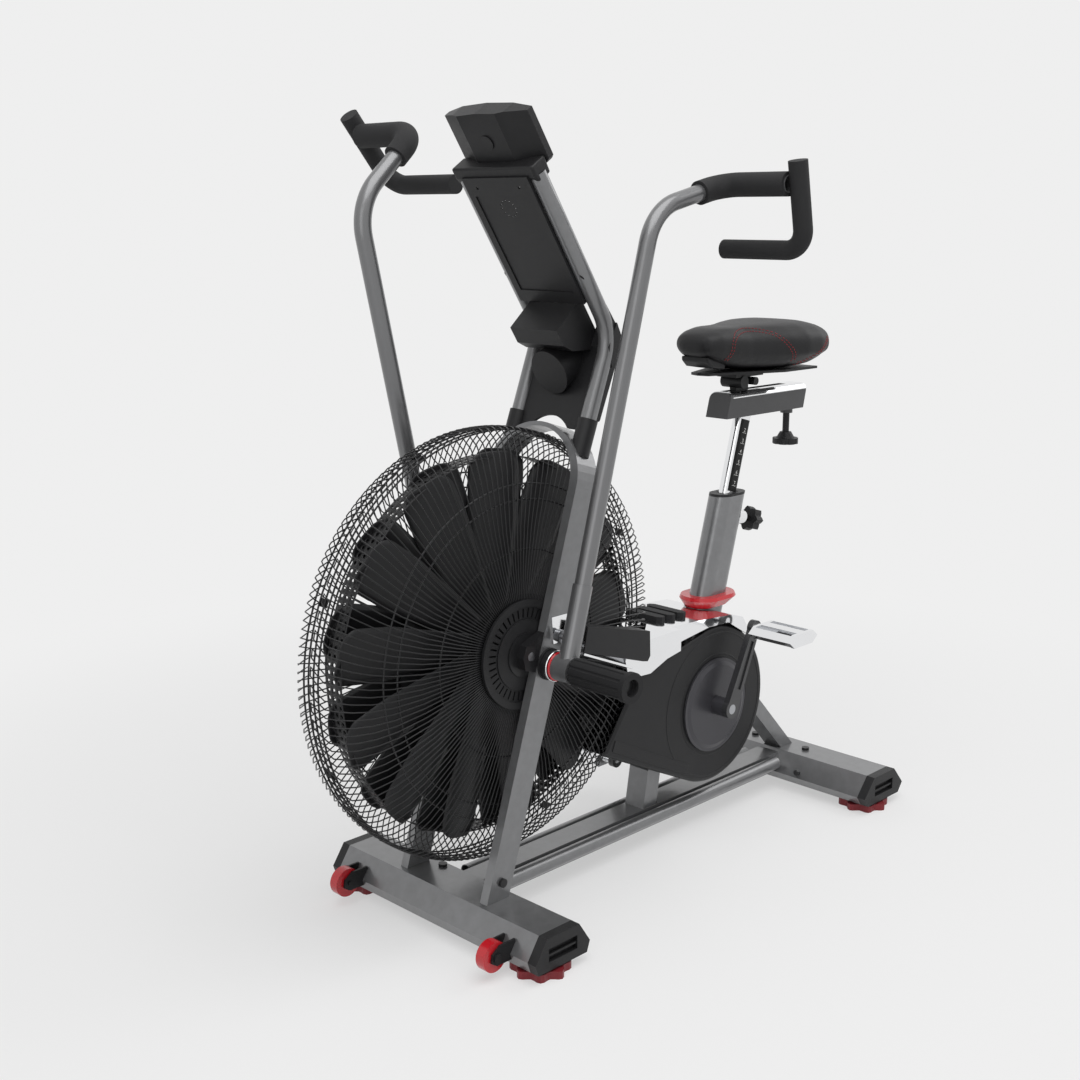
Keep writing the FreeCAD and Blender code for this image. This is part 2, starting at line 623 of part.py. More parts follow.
def crank_arm(side):
    """A tapered crank arm with round ends and a lightening pocket."""
    eye = pedal_centre(side)
    y = side * s.crank_arm_y
    root = Vector(s.crank_x, y, s.crank_z)
    tip = Vector(eye.x, y, eye.z)
    way = (tip - root).normalize()
    across = way.cross(Y_AXIS)
    corners = [root + across * 17, tip + across * 12, tip - across * 12, root - across * 17]
    web = Part.Face(Part.makePolygon(corners + corners[:1])).extrude(Y_AXIS * 13)
    arm = web.fuse([Part.makeCylinder(19, 13, root, Y_AXIS), Part.makeCylinder(15, 13, tip, Y_AXIS)])
    arm.translate(Vector(0, -6.5, 0))
    inset = [root + way * 42 + across * 7, tip - way * 28 + across * 5,
             tip - way * 28 - across * 5, root + way * 42 - across * 7]
    pocket = Part.Face(Part.makePolygon(inset + inset[:1])).extrude(Y_AXIS * 4)
    pocket.translate(Vector(0, 3.5 if side > 0 else -7.5, 0))
    arm = arm.cut(pocket)
    arm = arm.cut(Part.makeCylinder(s.spindle_radius, 40, root - Y_AXIS * 20, Y_AXIS))
    return arm.cut(Part.makeCylinder(7 + s.running_gap, 40, tip - Y_AXIS * 20, Y_AXIS))


def crankset():
    """Crank arms, the round cover discs that turn with them, the spindle and the big pulley."""
    arms = Part.makeCompound([crank_arm(1), crank_arm(-1)])
    keep("crank_arms", feature("crank_arms", arms))
    face = s.casing_half + 0.6
    disc = Part.makeCylinder(s.crank_disc_radius, 4, crank_point(y=face), Y_AXIS)
    dome = Part.makeCone(s.crank_disc_radius - 6, s.crank_disc_radius - 14, 3, crank_point(y=face + 4), Y_AXIS)
    neck = Part.makeCylinder(19, s.crank_arm_y - 6.6 - face, crank_point(y=face), Y_AXIS)
    bore = Part.makeCylinder(s.spindle_radius, 200, crank_point(), Y_AXIS)
    left_and_right("crank_discs", feature("crank_disc", disc.fuse([dome, neck]).cut(bore)))
    reach = s.crank_arm_y + 6.4
    spindle = cylinder("spindle", "Sizes.spindle_radius", "2 * (Sizes.crank_arm_y + 6.4)", crank_point(y=-reach))
    low = s.belt_y - s.belt_width / 2
    rim = Part.makeCylinder(s.drive_pulley_radius, s.belt_width, crank_point(y=low), Y_AXIS)
    rim = rim.cut(Part.makeCylinder(s.drive_pulley_radius - 8, 5, crank_point(y=low + s.belt_width - 5), Y_AXIS))
    bore = Part.makeCylinder(s.spindle_radius - 0.5, 40, crank_point(y=low - 10), Y_AXIS)
    eccentrics = []
    for side, turn in ((1, math.pi), (-1, 0.0)):
        spot = crank_point(s.link_stroke / 2, turn, 48 if side > 0 else -57)
        eccentrics.append(Part.makeCylinder(24, 9, spot, Y_AXIS))
    pulley = feature("drive_pulley", rim.cut(bore).fuse(eccentrics))
    keep("crank_spindle", fuse("crank_spindle", [spindle, pulley]))


def drive_belt():
    """The ribbed belt from the crank pulley to the fan shaft."""
    low = s.belt_y - s.belt_width / 2 + 0.5
    width = s.belt_width - 1
    near = Vector(s.crank_x, low, s.crank_z)
    far = Vector(s.fan_x, low, s.fan_z)

    def loop(extra):
        big = s.drive_pulley_radius + extra
        small = s.fan_pulley_radius + extra
        run = far - near
        heading = math.atan2(run.z, run.x)
        open_angle = math.acos((big - small) / run.Length)
        points = []
        for sign in (1, -1):
            angle = heading + sign * open_angle
            way = Vector(math.cos(angle), 0, math.sin(angle))
            points.append((near + way * big, far + way * small))
        nose = Vector(math.cos(heading), 0, math.sin(heading))
        edges = [
            Part.LineSegment(points[0][0], points[0][1]).toShape(),
            Part.Arc(points[0][1], far + nose * small, points[1][1]).toShape(),
            Part.LineSegment(points[1][1], points[1][0]).toShape(),
            Part.Arc(points[1][0], near - nose * big, points[0][0]).toShape(),
        ]
        return Part.Face(Part.Wire(edges)).extrude(Y_AXIS * width)

    belt = loop(0.3 + s.belt_thick).cut(loop(0.3))
    keep("drive_belt", feature("drive_belt", belt))


def pedal(node, side):
    """A caged platform pedal on its own spindle."""
    eye = pedal_centre(side)
    middle = s.pedal_centre_y
    half = s.pedal_width / 2
    length = s.pedal_length / 2
    height = s.pedal_height / 2
    outline = [(-length, 0), (-length + 16, height), (length - 16, height), (length, 0),
               (length - 16, -height), (-length + 16, -height)]
    outline = [(eye.x + a, eye.z + b) for a, b in outline]
    body = slab(outline, middle - half, middle + half)
    inner = block((eye.x - length + 14, eye.x - 13), (middle - half + 8, middle + half - 8), (eye.z - 40, eye.z + 40))
    other = block((eye.x + 13, eye.x + length - 14), (middle - half + 8, middle + half - 8), (eye.z - 40, eye.z + 40))
    body = body.cut(inner).cut(other)
    start = s.crank_arm_y - 6.5
    spindle = Part.makeCylinder(7, middle + half - 6 - start, Vector(eye.x, start, eye.z), Y_AXIS)
    collar = Part.makeCylinder(10, middle - half - 0.4 - (s.crank_arm_y + 7), Vector(eye.x, s.crank_arm_y + 7, eye.z), Y_AXIS)
    shape = body.fuse([spindle, collar])
    keep(node, feature(node, shape if side > 0 else mirror_shape(shape)))


# ---------------------------------------------------------------- lever arms and their links

def arm_frame(lean):
    """The lever's own frame: its tube runs up from the pivot."""
    return leaning(lean, s.pivot_x, s.pivot_z)


def arm_shapes():
    """Tube and grips of a left lever, standing straight up from its pivot."""
    y = s.arm_y
    bend = [Vector(0, y, 12), Vector(0, y, s.arm_height), Vector(-s.grip_back, y + 8, s.grip_rise),
            Vector(-s.grip_back, s.grip_out_y - s.handle_radius + 3, s.grip_rise)]
    radii = (95, 42)
    tube = bent_tube(bend, radii, s.arm_radius, s.arm_wall)
    sleeve = rod(s.arm_sleeve_radius, Vector(0, y, 10), Vector(0, y, s.arm_sleeve_end))
    sleeve = sleeve.cut(rod(s.arm_radius - s.arm_wall, Vector(0, y, 10), Vector(0, y, s.arm_sleeve_end)))
    half = s.arm_hub_length / 2
    hub = Part.makeCylinder(s.arm_hub_radius, 2 * half, Vector(0, y - half, 0), Y_AXIS)
    lug = rod(9, Vector(0, y - half + 2, s.link_pin_height), Vector(0, y, s.link_pin_height))
    pin = rod(5, Vector(0, s.link_y - 7, s.link_pin_height), Vector(0, y - half + 3, s.link_pin_height))
    bore = Part.makeCylinder(s.pivot_axle_radius + s.running_gap, 80, Vector(0, y - 40, 0), Y_AXIS)
    tube = tube.fuse([sleeve, hub, lug, pin]).cut(bore)
    # foam over the upper bend and run
    middle = bend[1] + (bend[2] - bend[1]) * 0.66
    foam_path = [middle, bend[2], bend[3] - Y_AXIS * 1.0]
    foam = bent_bar(foam_path, radii[1:], s.grip_radius)
    foam = foam.cut(bent_bar(bend, radii, s.arm_radius + 0.05))
    top = Vector(-s.handle_top_back, s.grip_out_y, s.handle_top)
    low = Vector(-s.handle_low_back, s.grip_out_y, s.handle_low)
    loop = bent_bar([top, low, Vector(low.x, s.handle_end_y, low.z)], (38,), s.handle_radius)
    loop = loop.cut(foam).cut(bent_bar(bend, radii, s.arm_radius + 0.05))
    return tube, Part.makeCompound([foam, loop])


def arms():
    """Left and right levers: the left one starts swung back, the right one forward."""
    tube, grip = arm_shapes()
    for side, name, lean in ((1, "left", s.arm_rest_lean), (-1, "right", s.arm_rest_lean - s.arm_swing)):
        for label, shape in (("arm_tube_" + name, tube), ("arm_grip_" + name, grip)):
            part = shape if side > 0 else mirror_shape(shape)
            keep(label, feature(label, placed(part, arm_frame(lean))))


def lever_pin(lean):
    """Where a lever leaning back by an angle carries its link rod."""
    return arm_frame(lean).multVec(Vector(0, 0, s.link_pin_height))


def yoke_eye(centre, rim, half):
    """The slotted eye of a link rod, wide enough for the eccentric's turn and the rod's stroke."""
    radius = 26 + s.link_stroke / 2 + rim
    reach = s.link_stroke / 2 + 2
    middle = block((-reach, reach), (-half, half), (-radius, radius))
    ends = [Part.makeCylinder(radius, 2 * half, Vector(x, -half, 0), Y_AXIS) for x in (-reach, reach)]
    eye = middle.fuse(ends)
    eye.translate(centre)
    return eye


def link_rods():
    """Rods from the levers' pins, joggled in past the cage, down to the crank's eccentrics."""
    middle = lever_pin(s.arm_rest_lean - s.arm_swing / 2)
    pin = Vector(middle.x, s.link_y, middle.z)
    inner = s.link_inner_y
    corners = [pin, Vector(200, s.link_y, 505), Vector(40, 97, 428), Vector(-130, inner + 2, 403.2)]
    big_end = Vector(s.crank_x, inner, s.crank_z)
    bar = bent_bar(corners + [big_end], (60, 60, 60), s.link_radius)
    bar = bar.cut(Part.makeCylinder(10.9, 40, pin - Y_AXIS * 20, Y_AXIS))
    eye = yoke_eye(big_end, 8, 4)
    slot = yoke_eye(big_end, 0, 20)
    bar = bar.cut(slot)
    small = Part.makeCylinder(11, 12, pin - Y_AXIS * 6, Y_AXIS)
    small = small.cut(Part.makeCylinder(5 + s.running_gap, 20, pin - Y_AXIS * 10, Y_AXIS))
    bar = bar.fuse([small, eye.cut(slot)])
    for node, side, lean in (("link_rod_left", 1, s.arm_rest_lean), ("link_rod_right", -1, s.arm_rest_lean - s.arm_swing)):
        part = bar.copy() if side > 0 else mirror_shape(bar)
        part.translate(lever_pin(lean) - middle)
        keep(node, feature(node, part))


# ---------------------------------------------------------------- casing and its covers

def casing_outline(grow=0.0):
    """Side outline of the drive casing: a round tail drawn out to a slanted front edge."""
    radius = s.casing_radius + grow
    centre = crank_point()

    def at(degrees):
        angle = math.radians(degrees)
        return Vector(centre.x + radius * math.cos(angle), 0, centre.z + radius * math.sin(angle))

    top = at(80)
    bottom = at(-62)
    front_low = Vector(75 + grow, 0, 249 - grow)
    front_high = Vector(-25 + grow, 0, 386 + grow)
    edges = [
        Part.Arc(top, at(189), bottom).toShape(),
        Part.LineSegment(bottom, front_low).toShape(),
        Part.LineSegment(front_low, front_high).toShape(),
        Part.LineSegment(front_high, top).toShape(),
    ]
    return Part.Face(Part.Wire(edges))


def casing_half():
    """Left half shell of the casing, closed on its flat side and open at the split."""
    half = s.casing_half
    wall = s.casing_wall
    shell = casing_outline().extrude(Y_AXIS * half)
    rounding = [edge for edge in shell.Edges if abs(edge.CenterOfMass.y - half) < 0.01]
    shell = shell.makeFillet(9.0, rounding)
    core = casing_outline(-wall).extrude(Y_AXIS * (half - wall + 1))
    core.translate(Vector(0, -1, 0))
    shell = shell.cut(core)
    spindle_hole = Part.makeCylinder(s.spindle_radius + 5, 40, crank_point(y=half - 20), Y_AXIS)
    shell = shell.cut(spindle_hole)
    shell = shell.cut(cage_room(4.0))
    return shell


def seat_frame():
    return leaning(s.seat_lean, s.seat_foot_x, s.crank_z)


def oval_bar(long, wide, low, high):
    """An upright bar of rounded, flattened section in its own frame."""
    radius = wide / 2
    reach = long / 2 - radius
    middle = block((-reach, reach), (-radius, radius), (low, high))
    ends = [Part.makeCylinder(radius, high - low, Vector(x, 0, low)) for x in (-reach, reach)]
    return middle.fuse(ends).removeSplitter()


def casings():
    """Both casing shells, opened for the seat tube, the posts and the link rods."""
    tube_room = placed(oval_bar(s.seat_tube_long + 2, s.seat_tube_wide + 2, 100, 240), seat_frame())
    shell = casing_half().cut(tube_room)
    post_room = slab([(-106, 60), (-150, 60), (-164, 160), (-118, 160)], -25, 25)
    strut_room = placed(block((-16, 16), (-23, 23), (-40, 300)), strut_frame())
    link_room = block((-225, -20), (34, s.casing_half - s.casing_wall), (375, 440))
    shell = shell.cut(post_room).cut(strut_room).cut(link_room)
    keep("casing_left", feature("casing_left", shell))
    keep("casing_right", mirrored("casing_right", NODES["casing_left"]))


def top_cover():
    """The bright cover over the casing, split round the cage in two flanking horns."""
    outline = [(-352, 400), (-352, 418), (-338, 438), (-300, 450), (-200, 458), (-90, 464), (0, 462),
               (40, 452), (50, 436), (42, 410), (20, 398), (-22, 396), (-70, 414), (-150, 428), (-228, 438), (-290, 436)]
    inside = [(-346, 380), (-346, 414), (-334, 432), (-298, 444), (-200, 452), (-90, 458), (0, 456), (34, 448),
              (80, 436), (80, 380)]
    rear_part = block((-400, -60), (-84, 84), (300, 500))
    horns = block((-110, 60), (-110, 110), (300, 500))
    cover = slab(outline, -110, 110).common(rear_part.fuse(horns))
    hollow = slab(inside, -107.5, 107.5).common(block((-400, -57), (-81, 81), (300, 500)).fuse(
        block((-107, 90), (-107.5, 107.5), (300, 500))))
    below = casing_outline(0.2).extrude(Y_AXIS * 2 * (s.casing_half + 0.2))
    below.translate(Y_AXIS * -(s.casing_half + 0.2))
    cover = cover.cut(hollow).cut(below).cut(cage_room(4.0))
    room = placed(oval_bar(s.seat_tube_long + 18, s.seat_tube_wide + 18, 80, 260), seat_frame())
    cover = cover.cut(room)
    keep("top_cover", feature("top_cover", cover))


def rubber_pads():
    """Three soft ribs across the top of the cover."""
    pads = []
    for x in (-196, -164, -132):
        outline = [(x - 11, -38), (x - 4, -47), (x + 4, -47), (x + 11, -38),
                   (x + 11, 38), (x + 4, 47), (x - 4, 47), (x - 11, 38)]
        pads.append(placed(slab(outline, 0, 9, "XY"), Placement(Vector(0, 0, 469.05), Rotation(Y_AXIS, -3.12))))
    keep("rubber_pads", feature("rubber_pads", Part.makeCompound(pads)))


# ---------------------------------------------------------------- seat

def seat_parts():
    """Seat tube with the crank shell, its red collar and plastic insert, post, slide and saddle."""
    wall = s.seat_tube_wall
    head = seat_frame().multVec(Vector(0, 0, s.seat_top)).z
    over = block((-700, 0), (-100, 100), (head, head + 200))
    tube = oval_bar(s.seat_tube_long, s.seat_tube_wide, 20, s.seat_top + 30)
    core = oval_bar(s.seat_tube_long - 2 * wall, s.seat_tube_wide - 2 * wall, 60, s.seat_top + 31)
    tube = placed(tube.cut(core), seat_frame()).cut(over)
    shell = Part.makeCylinder(s.shell_radius, 84, crank_point(y=-42), Y_AXIS)
    bore = Part.makeCylinder(s.spindle_radius + s.running_gap, 100, crank_point(y=-50), Y_AXIS)
    stem = placed(rod(6 + s.running_gap, Vector(-60, 0, 379), Vector(-10, 0, 379)), seat_frame())
    keep("seat_tube", feature("seat_tube", tube.fuse(shell).cut(bore).cut(stem)))
    keep("seat_collar", feature("seat_collar", seat_collar()))
    gap = s.seat_tube_wall + 0.1
    insert = oval_bar(s.seat_tube_long - 2 * gap, s.seat_tube_wide - 2 * gap, s.seat_top - 90, s.seat_top + 30)
    insert = placed(insert, seat_frame()).cut(over)
    lip = placed(oval_bar(s.seat_tube_long, s.seat_tube_wide, s.seat_top - 30, s.seat_top + 40), seat_frame())
    lip = lip.common(block((-700, 0), (-100, 100), (head + 0.1, head + 5)))
    half_long = s.post_long / 2 + 0.3
    half_wide = s.post_wide / 2 + 0.3
    room = placed(block((-half_long, half_long), (-half_wide, half_wide), (0, 600)), seat_frame())
    keep("tube_insert", feature("tube_insert", insert.fuse(lip).cut(room).cut(stem)))


def oval_outline(long, wide, x, z):
    """A level flattened ring of points round a place on the bike's middle plane."""
    points = []
    reach = (long - wide) / 2
    for i in range(28):
        angle = 2 * math.pi * (i + 0.5) / 28
        shift = reach if math.cos(angle) > 0 else -reach
        points.append(Vector(x + shift + wide / 2 * math.cos(angle), wide / 2 * math.sin(angle), z))
    return Part.Wire(Part.makePolygon(points + points[:1]))


def seat_collar():
    """The flared level collar round the foot of the seat tube."""
    low = 189.0
    high = 213.0
    foot = seat_frame().multVec(Vector(0, 0, low))
    head = seat_frame().multVec(Vector(0, 0, high))
    rings = [oval_outline(s.seat_tube_long + 14, s.seat_tube_wide + 14, foot.x, foot.z),
             oval_outline(s.seat_tube_long + 46, s.seat_tube_wide + 40, head.x, head.z - 7),
             oval_outline(s.seat_tube_long + 40, s.seat_tube_wide + 34, head.x, head.z)]
    collar = Part.makeLoft(rings, True, True)
    tube = oval_bar(s.seat_tube_long + 0.4, s.seat_tube_wide + 0.4, low - 60, high + 60)
    return collar.cut(placed(tube, seat_frame()))


def seat_knob_parts():
    """The bright collar behind the seat tube and the spring-loaded star knob through it."""
    level = 379.0
    rear = -s.seat_tube_long / 2
    collar = rod(14, Vector(rear - 0.1, 0, level), Vector(rear - 24, 0, level))
    collar = collar.cut(rod(6 + s.running_gap, Vector(rear + 10, 0, level), Vector(rear - 40, 0, level)))
    keep("knob_collar", feature("knob_collar", placed(collar, seat_frame())))
    stem = rod(6, Vector(rear + 20, 0, level), Vector(rear - 50, 0, level))
    cap = star_disc(Vector(rear - 44, 0, level), 26, 22, 7).fuse(stem)
    keep("seat_knob", feature("seat_knob", placed(cap, seat_frame())))


def star_disc(start, radius, depth, lobes):
    """A lobed grip knob whose flat face starts at a point and which runs towards -X."""
    steps = 4 * lobes
    points = []
    for i in range(steps):
        angle = 2 * math.pi * i / steps
        reach = radius * (0.88 + 0.12 * math.cos(lobes * angle))
        points.append(Vector(start.x, start.y + reach * math.cos(angle), start.z + reach * math.sin(angle)))
    return Part.Face(Part.makePolygon(points + points[:1])).extrude(X_AXIS * -depth)


def seat_post_parts():
    """The sliding post, the slide tube on its head and the bright slotted plate on top."""
    post = oval_bar(s.post_long, s.post_wide, 200, s.post_top + 6)
    core = oval_bar(s.post_long - 5, s.post_wide - 5, 199, s.post_top - 12)
    post = placed(post.cut(core), seat_frame())
    low = s.slide_bottom_z
    post = post.cut(block((-600, -300), (-60, 60), (low - 0.1, low + 60)))
    keep("seat_post", feature("seat_post", post))
    half = s.slide_half + 2
    front = s.slide_front_x
    rear = front - s.slide_length
    top = low + s.slide_height
    outline = [(front, low), (front - 14, top + 2), (rear - 12, top + 2), (rear, low)]
    tube = slab(outline, -half - 2, half + 2).common(slide_section(rear - 20, front, half, top))
    core = slide_section(rear + 6, front - 16, half - 3, top - 3)
    core = core.common(block((rear, front), (-half, half), (low + 3, top)))
    slot = block((rear + 40, front - 20), (-9, 9), (top - 10, top + 3))
    knob_x = rear + 22
    stem = rod(7 + s.running_gap, Vector(knob_x, 0, low - 1), Vector(knob_x, 0, low + 4))
    nut = Part.makeCylinder(13, 11, Vector(knob_x, 0, low - 11.1))
    nut = nut.cut(Part.makeCylinder(7 + s.running_gap, 20, Vector(knob_x, 0, low - 15)))
    keep("slide_tube", feature("slide_tube", Part.makeCompound([tube.cut(core).cut(slot).cut(stem), nut])))
    plate = slide_section(rear - 6, front - 18, half + 1.8, top + 1.8)
    plate = plate.cut(slide_section(rear - 30, front, half + 0.1, top + 0.1))
    plate = plate.cut(slot).cut(block((rear - 60, front), (-60, 60), (low - 5, top - 10)))
    keep("slide_plate", feature("slide_plate", plate))
    knob = Part.makeCylinder(27, 12, Vector(knob_x, 0, low - 77))
    for i in range(8):
        angle = math.pi * i / 4
        notch = Vector(knob_x + 30 * math.cos(angle), 30 * math.sin(angle), low - 79)
        knob = knob.cut(Part.makeCylinder(5, 30, notch))
    neck = Part.makeCone(20, 12, 14, Vector(knob_x, 0, low - 66))
    stem = Part.makeCylinder(7, 59, Vector(knob_x, 0, low - 54))
    keep("slide_knob", feature("slide_knob", knob.fuse([neck, stem])))


def slide_section(rear, front, half, top):
    """A bar along the slide with a flat bottom and rounded upper edges."""
    steps = 5
    outline = [(-half, s.slide_bottom_z), (half, s.slide_bottom_z)]
    for way in (1, -1):
        for i in range(steps + 1):
            turn = math.pi / 2 * (i if way > 0 else steps - i) / steps
            y = way * (half - s.slide_round + s.slide_round * math.cos(turn))
            outline.append((y, top - s.slide_round + s.slide_round * math.sin(turn)))
    return slab(outline, rear, front, "YZ")


def saddle_parts():
    """The carriage in the slide, the clamp on it, and the padded saddle."""
    low = s.slide_bottom_z
    top = low + s.slide_height
    inner = s.slide_half - 1.4
    nose = s.saddle_nose_x
    tail = nose - s.saddle_length
    clamp_x = s.slide_front_x - 70
    slide = block((clamp_x - 93, clamp_x + 20), (-inner, inner), (low + 3.4, top - s.slide_round - 1))
    neck = block((clamp_x - 22, clamp_x + 18), (-8, 8), (top - s.slide_round - 2, s.saddle_low_z - 12))
    head = block((clamp_x - 50, clamp_x + 40), (-24, 24), (s.saddle_low_z - 12.1, s.saddle_low_z - 2))
    barrel = Part.makeCylinder(13, 52, Vector(clamp_x + 14, -26, s.saddle_low_z - 22), Y_AXIS)
    bolt = Part.makeCylinder(8, 62, Vector(clamp_x - 18, -31, s.saddle_low_z - 22), Y_AXIS)
    base = slab([(nose - 30, -22), (nose - 22, 0), (nose - 30, 22), (nose - 200, 84), (tail + 26, 84),
                 (tail + 26, -84), (nose - 200, -84)], s.saddle_low_z - 1.9, s.saddle_low_z + 3, "XY")
    frame = slide.fuse([neck, head, barrel, bolt])
    keep("saddle_carriage", feature("saddle_carriage", Part.makeCompound([frame, base])))
    wide = s.saddle_half
    floor = s.saddle_low_z + 3.1
    crown = s.saddle_top_z
    stations = [
        (nose, 0.26 * wide, floor + 40, crown - 24), (nose - 12, 0.38 * wide, floor + 28, crown - 12),
        (nose - 60, 0.48 * wide, floor + 12, crown - 7), (nose - 130, 0.64 * wide, floor + 2, crown - 7),
        (nose - 190, 0.86 * wide, floor, crown - 3), (nose - 245, wide, floor, crown),
        (nose - 290, wide, floor + 3, crown), (tail + 14, 0.86 * wide, floor + 12, crown - 6),
        (tail, 0.6 * wide, floor + 32, crown - 20),
    ]
    sections = []
    for x, half, low_z, top_z in stations:
        tall = top_z - low_z
        right = [(half * 0.72, low_z), (half, low_z + 0.38 * tall), (half * 0.92, low_z + 0.72 * tall),
                 (half * 0.6, top_z - 0.06 * tall), (half * 0.2, top_z)]
        ring = right + [(-a, b) for a, b in reversed(right)]
        sections.append([Vector(x, a, b) for a, b in ring])
    keep("saddle", feature("saddle", skin(sections)))


# ---------------------------------------------------------------- mast, tray and console

def console_frame():
    return leaning(-33.8, 254.0, 1305.0)


def mast_path(side, start, end):
    """Corner points of a mast tube."""
    y = side * s.mast_y
    return [Vector(start[0], y, start[1]), Vector(73, y, 1030.5), Vector(end[0], y, end[1])]


def mast():
    """Two bent tubes from the hoop to the console, sleeved at the foot."""
    hoop_core = hoop_room()
    tube = bent_tube(mast_path(1, (151.3, 824.5), (253.5, 1301.2)), (90,), s.mast_radius, 2.0)
    left_and_right("mast_tubes", feature("mast_tube", tube.cut(hoop_core)))
    start = Vector(151.3, s.mast_y, 824.5)
    way = (Vector(73, s.mast_y, 1030.5) - start).normalize()
    sleeve = rod(s.mast_radius + 3, start, start + way * 66).cut(hoop_core)
    sleeve = sleeve.cut(rod(s.mast_radius + 0.05, start - way, start + way * 80))
    return pair("mast_sleeves", feature("mast_sleeve", sleeve))


def mast_panel():
    """The plain cover plate between the mast tubes below the console."""
    half = s.panel_half
    low = -252.0
    plate = slab([(-half, low), (half, low), (half, -1), (-half, -1)], 4, 21, "YZ")
    back = slab([(-half + 3, low - 1), (half - 3, low - 1), (half - 3, -4), (-half + 3, -4)], 0, 17, "YZ")
    tongue = block((-24, 5), (-66, 66), (-9, -0.3))
    tray = slab([(-half + 14, low + 24), (half - 14, low + 24), (half - 14, -36), (-half + 14, -36)], 19, 24, "YZ")
    holes = [Part.makeCylinder(3, 24, Vector(0, y, z), X_AXIS) for y, z in ((-50, -20), (50, -20))]
    for i in range(12):
        angle = math.pi * i / 6
        spot = Vector(0, 16 * math.cos(angle), -62 + 16 * math.sin(angle))
        holes.append(Part.makeCylinder(1.6, 24, spot, X_AXIS))
    plate = placed(plate.cut(back).fuse(tongue).cut(tray).cut(Part.makeCompound(holes)), console_frame())
    keep("mast_panel", feature("mast_panel", plate.cut(mast_room())))


def mast_room():
    """The room both mast tubes take, for parts fitted round them."""
    room = bent_bar(mast_path(1, (151.3, 824.5), (270, 1326)), (90,), s.mast_radius + 0.1)
    return Part.makeCompound([room, mirror_shape(room)])


def mast_tray(sleeves):
    """The moulding between the tubes: bottle cup below, open tray bin above it."""
    low_frame = leaning(20.8, 141.0, 852.0)
    plate = slab([(-76, 16), (76, 16), (76, 178), (-76, 178)], -2, 4, "YZ")
    hollow_arch = Part.makeCylinder(60, 30, Vector(-10, 0, -24), X_AXIS)
    plate = placed(plate.cut(hollow_arch), low_frame)
    # the bottle cup lies back between the tubes with its closed end forward
    cup_way = Vector(-math.cos(math.radians(22)), 0, math.sin(math.radians(22)))
    cup_end = Vector(138, 0, 962)
    cup = rod(s.cup_radius + 3, cup_end, cup_end + cup_way * 92)
    hollow = rod(s.cup_radius, cup_end + cup_way * 4, cup_end + cup_way * 100)
    bin_out = [(58, 1003), (138, 1003), (160, 1013), (178, 1040), (126, 1086), (112, 1084), (82, 1040)]
    bin_in = [(40, 1006), (137, 1006), (158, 1016), (174, 1040), (125, 1082.5), (95, 1079), (40, 1079)]
    outer = slab(bin_out, -57, 57)
    inner = slab(bin_in, -54, 54)
    lip = slab([(50, 1003), (60, 1003), (60, 1018), (52, 1014)], -57, 57)
    cheek = slab([(71, 1051), (50, 1010), (83, 974), (92, 1010)], 54, 99)
    tray = plate.fuse([cup, outer, lip, cheek, mirror_shape(cheek)]).cut(inner).cut(hollow)
    tray = feature("tray", tray.cut(mast_room()))
    keep("mast_tray", group("mast_tray", [tray, sleeves]))


def console_facets(inset):
    """The room within the console's three back facets, which fall away to both sides."""
    half = s.console_half
    flat = 0.46 * half
    depth = 22.0
    outline = [(-inset, flat), (-depth - inset, half + 1), (-90, half + 1), (-90, -half - 1),
               (-depth - inset, -half - 1), (-inset, -flat)]
    return slab(outline, -20, s.console_height + 40, "XY")


def console():
    """Back and front halves of the console, its display window and its three buttons."""
    half = s.console_half
    tall = s.console_height
    depth = s.console_depth
    outline = [(-half, 6), (-half + 6, 0), (half - 6, 0), (half, 6), (half, tall - 3),
               (60, tall + 5), (0, tall + 8), (-60, tall + 5), (-half, tall - 3)]
    split = -22.0
    inset = [(a * 0.965, 3 + b * 0.94) for a, b in outline]
    back = slab(outline, split, 0, "YZ").common(console_facets(0.0))
    badge = Part.makeCylinder(13, 2.5, Vector(-0.5, 0, 52), X_AXIS)
    inside = slab(inset, split - 1, 0, "YZ").common(console_facets(3.0))
    back = placed(back.fuse(badge).cut(inside), console_frame()).cut(mast_room())
    keep("console_back", feature("console_back", back))
    front = slab(outline, -depth + 6, split - 0.1, "YZ")
    rim = slab([(a * 0.93, 4 + b * 0.93) for a, b in outline], -depth + 3, -depth + 6, "YZ")
    front = front.fuse(rim).cut(slab(inset, -depth + 9, split, "YZ"))
    screen = slab([(-62, 38), (62, 38), (62, 94), (-62, 94)], -depth + 1, -depth + 5, "YZ")
    front = front.cut(screen)
    buttons = {"button_left": -48.0, "button_middle": 0.0, "button_right": 48.0}
    for y in buttons.values():
        front = front.cut(Part.makeCylinder(8.3, 20, Vector(-depth, y, 20), X_AXIS))
    keep("console_front", feature("console_front", placed(front, console_frame())))
    lens = slab([(-61.8, 38.2), (61.8, 38.2), (61.8, 93.8), (-61.8, 93.8)], -depth + 2.8, -depth + 4.9, "YZ")
    keep("display_lens", feature("display_lens", placed(lens, console_frame())))
    for node, y in buttons.items():
        button = Part.makeCylinder(8, 8, Vector(-depth + 1.4, y, 20), X_AXIS)
        keep(node, feature(node, placed(button, console_frame())))


# ---------------------------------------------------------------- covers, clamps and fasteners

